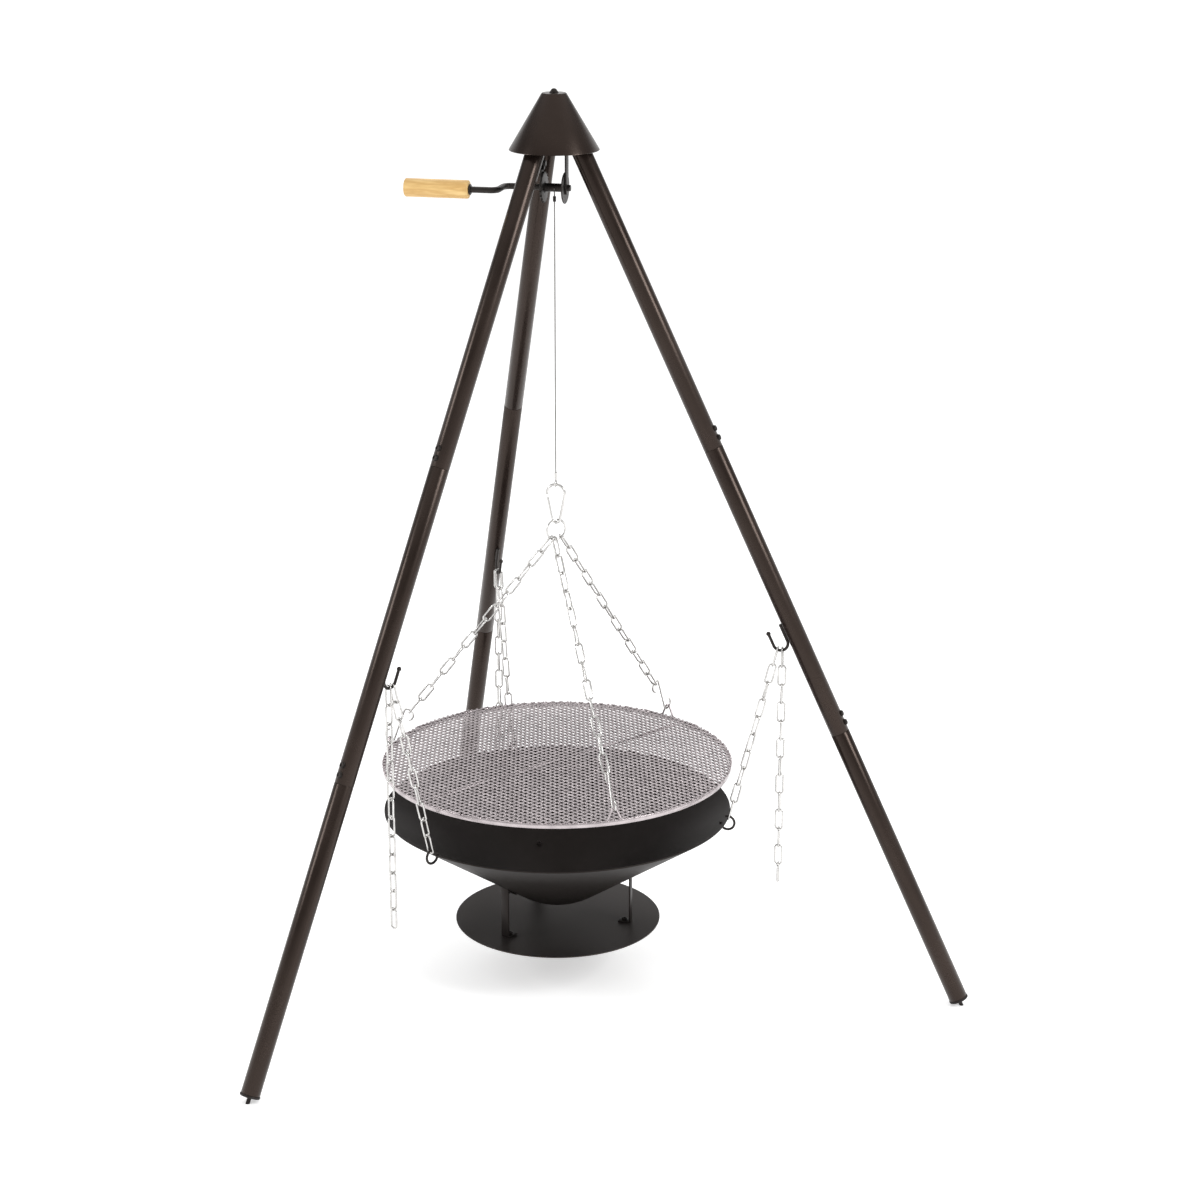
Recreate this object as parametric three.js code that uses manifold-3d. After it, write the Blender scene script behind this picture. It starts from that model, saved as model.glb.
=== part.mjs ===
// Campfire tripod grate: a three-legged stand with a hand winch in its head, a round grate that
// hangs from the winch cable on three chains, and a fire bowl that hangs from the legs on three more.
// Millimetres, +Z up. The finished group is moved so that its box stands centred on the ground point.
import * as THREE from "three";
import { mergeVertices } from "three/addons/utils/BufferGeometryUtils.js";
import Module from "manifold-3d";

// ---------------------------------------------------------------- driving sizes
const GAP = 0.3; // working gap between neighbouring pieces

const LEG_AZIMUTHS = { right: -14, back: 106, left: 226 };
const SPLAY = 24.9; // leg's angle from the vertical
const HEAD_OPENING = 21.2144; // tripod axis to the near side of a leg's top
const TUBE_D = 37;
const TUBE_WALL = 1.5;
const SECTION_LENGTH = 612; // lower and middle leg section
const UPPER_LENGTH = 639;
const SPIGOT_LENGTH = 55; // the swaged end that plugs into the section above
const SPIGOT_WALL = 2;
const JOINT_BOLT_OFFSETS = [16, 35]; // above each seam
const BOLT_D = 6;
const BOLT_HEAD_D = 11;
const BOLT_HEAD_H = 3.5;
const HEAD_GAP = 0.9; // under a flat bolt head on the bowl's curved wall
const PIN_D = 8;
const PIN_LENGTH = 12;
const PLUG_LIP = 5;
const PLUG_LIP_OVERHANG = 1;
const PLUG_DEPTH = 28;

const HOOK_WIRE = 6;
const HOOK_ROOM = 10.5; // inside the hook's bend, beside a chain link's wire
const HOOK_BEND_ALONG = 820; // bend's centre, along the leg from the ground
const HOOK_ARM = 36;
const HOOK_FREE_ARM = 26;
const HOOK_BALL_D = 9;
const HOOK_CHAIN_ASIDE = 9.4476; // bearing point of the bowl's chain, past the line of its pull, to the free side
const HOOK_TAIL_ANGLE = -16; // and where the loose end of the chain bears

const CAP_FLARE = 13.8281; // cap's lower edge, outside the legs
const CAP_TOP_R = 23;
const CAP_HEIGHT = 106;
const CAP_BASE_DROP = 20.8230; // below the legs' tops, as are the axle and the yoke
const CAP_WALL = 2;
const CAP_NUT_D = 15;
const CAP_NUT_H = 8;
const STUD_D = 8;
const COLLAR_D = 20;
const COLLAR_H = 8;
const HUB_R = 52;
const HUB_PLATE = 4;
const HUB_SPIGOT = 70;

const WINCH_AZIMUTH = 166; // direction of the crank end of the axle
const AXLE_DROP = 93.3230;
const AXLE_D = 12;
const AXLE_TAIL = 29; // axle's length past the cable line, away from the crank
const BEARING_CLEARANCE = 0.3;
const STRAP_W = 20;
const STRAP_T = 3;
const STRAP_NEAR = -23; // outer face of the strap away from the crank
const STRAP_FAR = 28; // outer face of the strap beside the ratchet
const STRAP_END = 13; // strap's length below the axle
const YOKE_LIP_ROOM = 32.5; // yoke's web past its straps, beside a leg's tube
const YOKE_TOP_DROP = 8.8230;
const DRUM_CORE_R = 8;
const FLANGE_R = 30;
const FLANGE_T = 2.5;
const RATCHET_TEETH = 18;
const RATCHET_ROOT_R = 26;
const RATCHET_T = 4;
const PAWL_PIVOT_UP = 45;
const PAWL_PIN_D = 5;
const CRANK_REACH = 99; // cable line to the crank's arm
const CRANK_THROW = 60;
const CRANK_BEND_R = 14;
const GRIP_START = 152.5;
const GRIP_LENGTH = 125;
const GRIP_D = 35;
const GRIP_EDGE = 3;
const GRIP_END_WALL = 14;

const CABLE_D = 2.5;
const STOP_D = 6;
const STOP_LENGTH = 10;
const STOP_DROP = 15; // axle height to the cable stop's top
const FERRULE_D = 6;
const FERRULE_LENGTH = 16;
const CABLE_EYE_R = 6.5;

const CARABINER_WIRE = 5.5;
const CARABINER_HEIGHT = 82;
const CARABINER_WIDTH = 41;
const CARABINER_NOSE_R = 8;
const CARABINER_TURN = -15;
const GATE_WIRE = 4.5;
const RING_ROOM = 16.5; // lift ring's wire radius, beside a chain link's wire
const RING_WIRE = 4;
const RING_TURN = 30;

const LINK_PITCH = 37.5;
const LINK_WIRE = 4;
const LINK_WIDTH = 18;
const LINK_BITE = 0.3; // how far neighbouring links press into each other
const SEAT_SLACK = 0.3; // gap between a chain's end link and its bar, for each millimetre of the link's wire
const GRATE_CHAIN_LINKS = 13;
const BOWL_CHAIN_LINKS = 10;
const TAIL_LINKS = 13;
const SHOOK_WIRE = 4;
const SHOOK_LENGTH = 80; // between the bends' wire centres
const SHOOK_BEND_R = 12;

const GRATE_Z = 453; // cooking surface
const GRATE_R = 350;
const GRATE_EYE_AZIMUTHS = { left: 168, right: 48, front: -72 };
const SHEET_T = 2;
const MESH_PITCH = 58;
const MESH_STRAND = 9;
const MESH_TURN = 44;
const HOOP_H = 9.5;
const HOOP_T = 4;
const ROD_D = 5;
const ROD_AZIMUTH = 40;
const EYE_WIRE = 4;
const EYE_HEIGHT = 22; // cooking surface to the eye's top bar
const EYE_BASE_W = 36;
const EYE_TOP_W = 12;

const BOWL_R = 348;
const BOWL_SLOPE = 33.7;
const BOWL_BOTTOM_R = 150;
const BOWL_WALL = 2.5;
const BOWL_HOOK_WIRE = 5;
const BOWL_HOOK_R = 14;
const BOWL_HOOK_INSET = 1.9; // rim edge to the hook's centre, along the wall
const BOWL_HOOK_DROP = 5; // hook's centre below the wall
const BOWL_HOOK_HOLE_D = 9.5;
const DISC_R = 207.5;
const DISC_T = 2.5;
const DISC_CLEAR = 34.711; // bowl's underside to the disc
const BRACKET_R = 153; // outer face of a bracket's web
const BRACKET_W = 20;
const BRACKET_T = 3;
const BRACKET_TAB = 25;

// ---------------------------------------------------------------- helpers
const wasm = await Module();
wasm.setup();

const rad = THREE.MathUtils.degToRad;
const sinS = Math.sin(rad(SPLAY));
const cosS = Math.cos(rad(SPLAY));
const sinB = Math.sin(rad(BOWL_SLOPE));
const cosB = Math.cos(rad(BOWL_SLOPE));
const UP = new THREE.Vector3(0, 0, 1);

const TUBE_R = TUBE_D / 2;
const BORE_R = TUBE_R - TUBE_WALL;
const SPIGOT_R = BORE_R - GAP;
const SEAMS = [SECTION_LENGTH, 2 * SECTION_LENGTH];
const TUBE_START = PIN_LENGTH + PLUG_LIP + GAP;
const LEG_TOP = SEAMS[1] + UPPER_LENGTH;
const TUBE_SIDES = 20;
const TUBE_HALF = TUBE_R / cosS; // half a leaning tube's width, on the level
const HEAD_RADIUS = HEAD_OPENING + TUBE_HALF;
const FOOT_RADIUS = HEAD_RADIUS + LEG_TOP * sinS; // tripod axis to a leg's axis on the ground
const headZ = LEG_TOP * cosS;
const legTopZ = headZ + TUBE_R * sinS;
const CAP_BASE_Z = headZ - CAP_BASE_DROP;
const CAP_BASE_R = HEAD_RADIUS + (CAP_BASE_DROP * sinS) / cosS + TUBE_HALF + CAP_FLARE;
const AXLE_Z = headZ - AXLE_DROP;
const YOKE_TOP_Z = headZ - YOKE_TOP_DROP;
const HOOK_BEND_R = LINK_WIRE + HOOK_ROOM;
const RING_R = LINK_WIRE + RING_ROOM;
const SEAT_GAP = SEAT_SLACK * LINK_WIRE;

function toSolid(geometry) {
  const bare = geometry.index ? geometry.toNonIndexed() : geometry.clone();
  bare.deleteAttribute("normal");
  bare.deleteAttribute("uv");
  const merged = mergeVertices(bare, 1e-4);
  const corners = merged.index.array;
  const kept = [];
  for (let i = 0; i < corners.length; i += 3) {
    const [a, b, c] = [corners[i], corners[i + 1], corners[i + 2]];
    if (a !== b && b !== c && c !== a) kept.push(a, b, c);
  }
  const mesh = (triVerts) =>
    new wasm.Mesh({
      numProp: 3,
      vertProperties: new Float32Array(merged.attributes.position.array),
      triVerts: new Uint32Array(triVerts),
    });
  const solid = new wasm.Manifold(mesh(kept));
  return solid.volume() < 0 ? new wasm.Manifold(mesh(kept.reverse())) : solid;
}

function toGeometry(solid) {
  const mesh = solid.getMesh();
  const geometry = new THREE.BufferGeometry();
  geometry.setAttribute("position", new THREE.BufferAttribute(new Float32Array(mesh.vertProperties), 3));
  geometry.setIndex(new THREE.BufferAttribute(new Uint32Array(mesh.triVerts), 1));
  const flat = geometry.toNonIndexed();
  flat.computeVertexNormals();
  return flat;
}

const join = (...geometries) => toGeometry(geometries.map(toSolid).reduce((a, b) => a.add(b)));
const cut = (base, ...tools) =>
  toGeometry(tools.map(toSolid).reduce((a, b) => a.subtract(b), toSolid(base)));

// A profile of [radius, height] points turned round the Z axis.
function revolve(profile, sides) {
  const points = profile.map(([r, z]) => new THREE.Vector2(r, z));
  return toGeometry(toSolid(new THREE.LatheGeometry(points, sides).rotateX(Math.PI / 2)));
}

// A tube or disc between two heights.
function ringSolid(inner, outer, z0, z1, sides) {
  const profile = [
    [inner, z0],
    [outer, z0],
    [outer, z1],
    [inner, z1],
  ];
  return revolve(inner > 0 ? [...profile, profile[0]] : profile, sides);
}

// A round rod of the given radius between two points.
function rodBetween(from, to, radius, sides = 10) {
  const axis = new THREE.Vector3().subVectors(to, from);
  const geometry = new THREE.CylinderGeometry(radius, radius, axis.length(), sides);
  const turn = new THREE.Quaternion().setFromUnitVectors(new THREE.Vector3(0, 1, 0), axis.clone().normalize());
  const centre = from.clone().add(to).multiplyScalar(0.5);
  return geometry.applyQuaternion(turn).translate(centre.x, centre.y, centre.z);
}

// A round wire along a smooth curve through the points.
function wire(points, diameter, sides, steps, closed = false) {
  const path = new THREE.CatmullRomCurve3(points, closed, "centripetal");
  const corners = Array.from({ length: sides }, (_, i) => {
    const a = (2 * Math.PI * i) / sides;
    return new THREE.Vector2(Math.cos(a), Math.sin(a)).multiplyScalar(diameter / 2);
  });
  return new THREE.ExtrudeGeometry(new THREE.Shape(corners), {
    steps,
    bevelEnabled: false,
    extrudePath: path,
  });
}

// Points of an arc in the plane of two unit vectors.
function arc(centre, u, v, radius, from, to, count) {
  return Array.from({ length: count }, (_, i) => {
    const a = rad(from + ((to - from) * i) / (count - 1));
    return centre
      .clone()
      .addScaledVector(u, radius * Math.cos(a))
      .addScaledVector(v, radius * Math.sin(a));
  });
}

// The outline of [x, y] points pushed out to a plate of the given thickness, centred on z = 0.
function plate(outline, thickness, holes = []) {
  const loop = (points, clockwise) => {
    const corners = points.map(([x, y]) => new THREE.Vector2(x, y));
    return THREE.ShapeUtils.isClockWise(corners) === clockwise ? corners : corners.reverse();
  };
  const shape = new THREE.Shape(loop(outline, false));
  shape.holes = holes.map((hole) => new THREE.Path(loop(hole, true)));
  const geometry = new THREE.ExtrudeGeometry(shape, { depth: thickness, bevelEnabled: false });
  return geometry.translate(0, 0, -thickness / 2);
}

// A plate drawn in a radial, vertical plane: x of the outline is the radius and y is the height.
const uprightPlate = (outline, thickness, holes = []) =>
  plate(outline, thickness, holes).rotateX(Math.PI / 2);

const atAzimuth = (azimuth, radius, z) =>
  new THREE.Vector3(radius * Math.cos(rad(azimuth)), radius * Math.sin(rad(azimuth)), z);

// ---------------------------------------------------------------- materials
const finish = (color, roughness, metalness) => new THREE.MeshStandardMaterial({ color, roughness, metalness });
const POWDER = finish(0x37312e, 0.55, 0.3);
const BLACK_STEEL = finish(0x1b1a1a, 0.5, 0.4);
const ZINC = finish(0xc9c9c8, 0.25, 1);
const CHROME = finish(0xd4d2d0, 0.18, 1);
const BOWL_COAT = finish(0x2f2c2b, 0.6, 0.2);
const PLASTIC = finish(0x141414, 0.6, 0);
const BEECH = finish(0xe0b878, 0.55, 0);

const assembly = new THREE.Group();
function piece(name, geometry, material, parent = assembly) {
  const mesh = new THREE.Mesh(geometry, material);
  mesh.name = name;
  parent.add(mesh);
  return mesh;
}

// ---------------------------------------------------------------- legs
// Leg frame: +Z runs up the leg from the ground, +X is its outer side and +Y runs round the tripod.
function legFrame(azimuth) {
  const turned = new THREE.Group();
  turned.rotation.z = rad(azimuth);
  const leaning = new THREE.Group();
  leaning.position.x = FOOT_RADIUS;
  leaning.rotation.y = -rad(SPLAY);
  turned.add(leaning);
  assembly.add(turned);
  return leaning;
}

function legPoint(azimuth, outward, along) {
  const radius = FOOT_RADIUS + outward * cosS - along * sinS;
  return atAzimuth(azimuth, radius, outward * sinS + along * cosS);
}

function boltHoles(seam) {
  return JOINT_BOLT_OFFSETS.map((offset) =>
    rodBetween(
      new THREE.Vector3(SPIGOT_R / 2, 0, seam + offset),
      new THREE.Vector3(2 * TUBE_R, 0, seam + offset),
      BOLT_D / 2 + GAP,
      8,
    ),
  );
}

function legSection(from, to, spigot) {
  const inner = SPIGOT_R - SPIGOT_WALL;
  const profile = spigot
    ? [
        [BORE_R, from],
        [TUBE_R, from],
        [TUBE_R, to],
        [SPIGOT_R, to],
        [SPIGOT_R, to + SPIGOT_LENGTH],
        [inner, to + SPIGOT_LENGTH],
        [inner, to - TUBE_D / 2],
        [BORE_R, to - TUBE_D],
        [BORE_R, from],
      ]
    : [
        [BORE_R, from],
        [TUBE_R, from],
        [TUBE_R, to],
        [BORE_R, to],
        [BORE_R, from],
      ];
  return revolve(profile, TUBE_SIDES);
}

function jointBolts(seam) {
  const barOuter = SPIGOT_R - SPIGOT_WALL - 1.4;
  const bar = new THREE.BoxGeometry(4, 9, 38).translate(barOuter - 2, 0, seam + 25.5);
  const bolts = JOINT_BOLT_OFFSETS.flatMap((offset) => [
    rodBetween(
      new THREE.Vector3(barOuter - 1, 0, seam + offset),
      new THREE.Vector3(TUBE_R + GAP + 1, 0, seam + offset),
      BOLT_D / 2,
      8,
    ),
    rodBetween(
      new THREE.Vector3(TUBE_R + GAP, 0, seam + offset),
      new THREE.Vector3(TUBE_R + GAP + BOLT_HEAD_H, 0, seam + offset),
      BOLT_HEAD_D / 2,
      10,
    ),
  ]);
  return join(bar, ...bolts);
}

function footPlug() {
  const lip = TUBE_R + PLUG_LIP_OVERHANG;
  const body = revolve(
    [
      [0, -PIN_LENGTH],
      [PIN_D / 2, -PIN_LENGTH],
      [PIN_D / 2, PIN_LENGTH],
      [lip, PIN_LENGTH],
      [lip, PIN_LENGTH + PLUG_LIP],
      [BORE_R - GAP, PIN_LENGTH + PLUG_LIP],
      [BORE_R - GAP, PIN_LENGTH + PLUG_LIP + PLUG_DEPTH],
      [0, PIN_LENGTH + PLUG_LIP + PLUG_DEPTH],
    ],
    16,
  );
  const ground = new THREE.BoxGeometry(200, 200, 100).translate(0, 0, -50).rotateY(rad(SPLAY));
  return cut(body, ground);
}

const HOOK_ARM_X = -(TUBE_R + HOOK_WIRE / 2 + GAP);
const HOOK_CENTRE_X = HOOK_ARM_X - HOOK_BEND_R;

function legHook() {
  const top = HOOK_BEND_ALONG + HOOK_ARM;
  const tip = HOOK_BEND_ALONG + HOOK_FREE_ARM;
  const tipX = HOOK_CENTRE_X - HOOK_BEND_R;
  const centre = new THREE.Vector3(HOOK_CENTRE_X, 0, HOOK_BEND_ALONG);
  const X = new THREE.Vector3(1, 0, 0);
  const path = [
    new THREE.Vector3(HOOK_ARM_X, 0, top),
    new THREE.Vector3(HOOK_ARM_X, 0, (top + HOOK_BEND_ALONG) / 2),
    ...arc(centre, X, UP, HOOK_BEND_R, 0, -180, 9),
    new THREE.Vector3(tipX, 0, tip - HOOK_FREE_ARM / 2),
    new THREE.Vector3(tipX, 0, tip),
  ];
  const ball = new THREE.SphereGeometry(HOOK_BALL_D / 2, 8, 6).translate(tipX, 0, tip);
  return join(wire(path, HOOK_WIRE, 8, 20), ball);
}

// A point on the bend's wire, measured in degrees from the bend's lowest point, free side positive.
function hookPoint(azimuth, angle) {
  const a = rad(SPLAY + angle);
  return legPoint(
    azimuth,
    HOOK_CENTRE_X - HOOK_BEND_R * Math.sin(a),
    HOOK_BEND_ALONG - HOOK_BEND_R * Math.cos(a),
  );
}

for (const [side, azimuth] of Object.entries(LEG_AZIMUTHS)) {
  const leg = legFrame(azimuth);
  const lower = legSection(TUBE_START, SEAMS[0], true);
  const middle = cut(legSection(SEAMS[0] + GAP, SEAMS[1], true), ...boltHoles(SEAMS[0]));
  const upper = cut(legSection(SEAMS[1] + GAP, LEG_TOP, false), ...boltHoles(SEAMS[1]));
  piece(`leg_${side}_lower`, cut(lower, ...boltHoles(SEAMS[0])), POWDER, leg);
  piece(`leg_${side}_middle`, cut(middle, ...boltHoles(SEAMS[1])), POWDER, leg);
  piece(`leg_${side}_upper`, upper, POWDER, leg);
  piece(`leg_${side}_lower_bolts`, jointBolts(SEAMS[0]), BLACK_STEEL, leg);
  piece(`leg_${side}_upper_bolts`, jointBolts(SEAMS[1]), BLACK_STEEL, leg);
  piece(`foot_${side}`, footPlug(), PLASTIC, leg);
  piece(`leg_hook_${side}`, legHook(), BLACK_STEEL, leg);
}

// ---------------------------------------------------------------- head and cap
const capTopZ = CAP_BASE_Z + CAP_HEIGHT;
const hubZ = legTopZ + 3;

function hub() {
  const plateDisc = ringSolid(0, HUB_R, hubZ, hubZ + HUB_PLATE, 24);
  const stud = ringSolid(0, STUD_D / 2, YOKE_TOP_Z - 18, capTopZ + 6, 8);
  const collarTop = capTopZ - CAP_WALL - GAP;
  const collar = ringSolid(0, COLLAR_D / 2, collarTop - COLLAR_H, collarTop, 12);
  const spigots = Object.values(LEG_AZIMUTHS).map((azimuth) =>
    rodBetween(legPoint(azimuth, 0, LEG_TOP - HUB_SPIGOT), legPoint(azimuth, 0, (hubZ + 1) / cosS), SPIGOT_R, 12),
  );
  return join(plateDisc, stud, collar, ...spigots);
}

const slantWall = CAP_WALL / Math.cos(Math.atan((CAP_BASE_R - CAP_TOP_R) / CAP_HEIGHT));
const studHole = STUD_D / 2 + GAP;
const capProfile = [
  [studHole, capTopZ],
  [studHole, capTopZ - CAP_WALL],
  [CAP_TOP_R - slantWall, capTopZ - CAP_WALL],
  [CAP_BASE_R - slantWall, CAP_BASE_Z],
  [CAP_BASE_R, CAP_BASE_Z],
  [CAP_TOP_R, capTopZ],
  [studHole, capTopZ],
];
const nutZ = capTopZ + GAP;
const nutProfile = [
  [studHole, nutZ],
  [CAP_NUT_D / 2, nutZ],
  [CAP_NUT_D / 2, nutZ + CAP_NUT_H / 2],
  [CAP_NUT_D / 3, nutZ + CAP_NUT_H - 1],
  [0, nutZ + CAP_NUT_H],
  [0, nutZ + CAP_NUT_H - 1.5],
  [studHole, nutZ + CAP_NUT_H - 1.5],
  [studHole, nutZ],
];
piece("cap", revolve(capProfile, 36), POWDER);
piece("cap_nut", revolve(nutProfile, 12), BLACK_STEEL);
piece("head_hub", hub(), BLACK_STEEL);

// ---------------------------------------------------------------- winch
// Winch frame: +X runs along the axle towards the crank and +Y points away from the cable's side,
// with the origin on the cable line at the axle's height.
const winch = new THREE.Group();
winch.rotation.z = rad(WINCH_AZIMUTH);
winch.position.z = AXLE_Z;
assembly.add(winch);
const AXLE_Y = -(DRUM_CORE_R + CABLE_D / 2 + GAP); // the far side of the cable is -Y once the frame is turned
const BEARING_R = AXLE_D / 2 + BEARING_CLEARANCE;
const alongAxle = (geometry) => geometry.rotateY(Math.PI / 2).translate(0, AXLE_Y, 0);
const yokeTop = YOKE_TOP_Z - AXLE_Z;

function yoke() {
  const lip = YOKE_LIP_ROOM - TUBE_R;
  const web = new THREE.BoxGeometry(STRAP_FAR - STRAP_NEAR, STRAP_W + lip, STRAP_T);
  web.translate((STRAP_FAR + STRAP_NEAR) / 2, AXLE_Y + lip / 2, yokeTop - STRAP_T / 2);
  const strap = (x) =>
    new THREE.BoxGeometry(STRAP_T, STRAP_W, yokeTop + STRAP_END).translate(x, AXLE_Y, (yokeTop - STRAP_END) / 2);
  const straps = join(web, strap(STRAP_NEAR + STRAP_T / 2), strap(STRAP_FAR - STRAP_T / 2));
  const axleHole = alongAxle(new THREE.CylinderGeometry(BEARING_R, BEARING_R, 200, 16).rotateX(Math.PI / 2));
  const hole = new THREE.CylinderGeometry(studHole, studHole, 40, 8).rotateX(Math.PI / 2).translate(0, 0, yokeTop);
  const pinR = PAWL_PIN_D / 2 + GAP;
  const pinHole = rodBetween(
    new THREE.Vector3(STRAP_FAR - 2 * STRAP_T, AXLE_Y, PAWL_PIVOT_UP),
    new THREE.Vector3(STRAP_FAR + STRAP_T, AXLE_Y, PAWL_PIVOT_UP),
    pinR,
    10,
  );
  return cut(straps, axleHole, hole, pinHole);
}

const drumStart = STRAP_NEAR + STRAP_T + GAP;
const ratchetEnd = STRAP_FAR - STRAP_T - GAP;
const ratchetStart = ratchetEnd - RATCHET_T;

function drum() {
  const end = ratchetStart - GAP;
  const profile = [
    [BEARING_R, drumStart],
    [FLANGE_R, drumStart],
    [FLANGE_R, drumStart + FLANGE_T],
    [DRUM_CORE_R, drumStart + FLANGE_T],
    [DRUM_CORE_R, end],
    [BEARING_R, end],
    [BEARING_R, drumStart],
  ];
  return alongAxle(revolve(profile, 24));
}

function ratchet() {
  const outline = [];
  for (let i = 0; i < RATCHET_TEETH; i += 1) {
    const step = (2 * Math.PI) / RATCHET_TEETH;
    const [tip, root] = [i * step, (i + 0.12) * step];
    outline.push([FLANGE_R * Math.cos(tip), FLANGE_R * Math.sin(tip)]);
    outline.push([RATCHET_ROOT_R * Math.cos(root), RATCHET_ROOT_R * Math.sin(root)]);
  }
  const bore = Array.from({ length: 16 }, (_, i) => {
    const a = (-2 * Math.PI * i) / 16;
    return [BEARING_R * Math.cos(a), BEARING_R * Math.sin(a)];
  });
  const wheel = plate(outline, RATCHET_T, [bore]).translate(0, 0, (ratchetStart + ratchetEnd) / 2);
  return alongAxle(wheel);
}

// The pawl hangs from its pin with its nose just clear of the teeth.
function pawl() {
  const drop = PAWL_PIVOT_UP - FLANGE_R - 2.4;
  const outline = [
    [-5.5, 3],
    [-3, 5.5],
    [3, 5.5],
    [5.5, 3],
    [5, -5],
    [9, -drop + 2],
    [7, -drop],
    [-1, -drop + 3],
    [-5, -4],
  ];
  const hole = Array.from({ length: 10 }, (_, i) => {
    const a = (-2 * Math.PI * i) / 10;
    const r = PAWL_PIN_D / 2 + GAP;
    return [r * Math.cos(a), r * Math.sin(a)];
  });
  const body = plate(outline, RATCHET_T, [hole]).rotateX(Math.PI / 2).rotateZ(Math.PI / 2);
  return body.translate((ratchetStart + ratchetEnd) / 2, AXLE_Y, PAWL_PIVOT_UP);
}

function pawlPin() {
  const at = (x) => new THREE.Vector3(x, AXLE_Y, PAWL_PIVOT_UP);
  const inner = ratchetStart - GAP;
  const outer = STRAP_FAR + GAP;
  return join(
    rodBetween(at(inner - 2), at(outer + 1), PAWL_PIN_D / 2, 10),
    rodBetween(at(inner - 2), at(inner), PAWL_PIN_D, 10),
    rodBetween(at(outer), at(outer + 2.5), PAWL_PIN_D, 10),
  );
}

// One bent bar: the axle, the arm and the spindle inside the grip.
function crank() {
  const r = CRANK_BEND_R;
  const X = new THREE.Vector3(1, 0, 0);
  const Y = new THREE.Vector3(0, 1, 0);
  const gripY = AXLE_Y + CRANK_THROW;
  const line = (x0, x1, y, count) =>
    Array.from({ length: count }, (_, i) => new THREE.Vector3(x0 + ((x1 - x0) * i) / (count - 1), y, 0));
  const firstBend = arc(new THREE.Vector3(CRANK_REACH - r, AXLE_Y + r, 0), X, Y, r, -90, 0, 5);
  const secondBend = arc(new THREE.Vector3(CRANK_REACH + r, gripY - r, 0), X, Y, r, 180, 90, 5);
  const path = [
    ...line(-AXLE_TAIL, CRANK_REACH - r - 6, AXLE_Y, 5),
    ...firstBend,
    ...secondBend,
    ...line(CRANK_REACH + r + 6, GRIP_START + GRIP_LENGTH - GRIP_END_WALL, gripY, 4),
  ];
  return wire(path, AXLE_D, 10, 46);
}

function grip() {
  const end = GRIP_START + GRIP_LENGTH;
  const r = GRIP_D / 2;
  const profile = [
    [BEARING_R, GRIP_START],
    [r - GRIP_EDGE, GRIP_START],
    [r, GRIP_START + GRIP_EDGE],
    [r, end - GRIP_EDGE],
    [r - GRIP_EDGE, end],
    [0, end],
    [0, end - GRIP_END_WALL + GAP],
    [BEARING_R, end - GRIP_END_WALL + GAP],
    [BEARING_R, GRIP_START],
  ];
  return alongAxle(revolve(profile, 24)).translate(0, CRANK_THROW, 0);
}

const hangerNutTop = YOKE_TOP_Z - STRAP_T - GAP;
const nutBore = studHole / Math.cos(Math.PI / 6); // its six flats clear the stud
piece("winch_yoke", yoke(), BLACK_STEEL, winch);
piece("yoke_nut", ringSolid(nutBore, 7.5, hangerNutTop - 6.5, hangerNutTop, 6), BLACK_STEEL);
piece("cable_drum", drum(), BLACK_STEEL, winch);
piece("ratchet_wheel", ratchet(), BLACK_STEEL, winch);
piece("pawl", pawl(), BLACK_STEEL, winch);
piece("pawl_pin", pawlPin(), BLACK_STEEL, winch);
piece("crank", crank(), BLACK_STEEL, winch);
piece("grip", grip(), BEECH, winch);

// ---------------------------------------------------------------- chains
const LINK_HALF = (LINK_PITCH + 2 * LINK_WIRE - LINK_BITE) / 2;
// Distance from a link's centre to a round bar of radius r that bears in its end.
const seat = (r) => LINK_HALF - LINK_WIRE - r - SEAT_GAP;

// A link lies along X with its width along Y. Its corners are chamfered.
function link(half) {
  const wide = LINK_WIDTH / 2;
  const bevel = LINK_WIRE + 1;
  const window = [half - LINK_WIRE, wide - LINK_WIRE];
  const outline = [
    [half, bevel - wide],
    [half, wide - bevel],
    [half - bevel, wide],
    [bevel - half, wide],
    [-half, wide - bevel],
    [-half, bevel - wide],
    [bevel - half, -wide],
    [half - bevel, -wide],
  ];
  const hole = [
    [window[0], window[1]],
    [window[0], -window[1]],
    [-window[0], -window[1]],
    [-window[0], window[1]],
  ];
  return plate(outline, LINK_WIRE, [hole]);
}

// A straight run of links between the first and the last link's centre. firstSide and lastSide are the
// directions in which the width of those two links lies, and the links between share the twist.
function chain(first, last, count, firstSide, lastSide) {
  const along = last.clone().sub(first);
  const pitch = along.length() / (count - 1);
  along.normalize();
  const square = (v) => v.clone().addScaledVector(along, -v.dot(along)).normalize();
  const side = square(firstSide);
  const normal = along.clone().cross(side);
  const target = square(lastSide);
  const wanted = Math.atan2(target.dot(normal), target.dot(side));
  const plain = (Math.PI / 2) * (count - 1);
  const total = wanted + Math.PI * Math.round((plain - wanted) / Math.PI);
  const links = Array.from({ length: count }, (_, i) => {
    const turn = (total * i) / (count - 1);
    const y = side.clone().multiplyScalar(Math.cos(turn)).addScaledVector(normal, Math.sin(turn));
    const z = along.clone().cross(y);
    const centre = first.clone().addScaledVector(along, pitch * i);
    const place = new THREE.Matrix4().makeBasis(along, y, z).setPosition(centre);
    return link((pitch + 2 * LINK_WIRE - LINK_BITE) / 2).applyMatrix4(place);
  });
  return join(...links);
}

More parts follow.
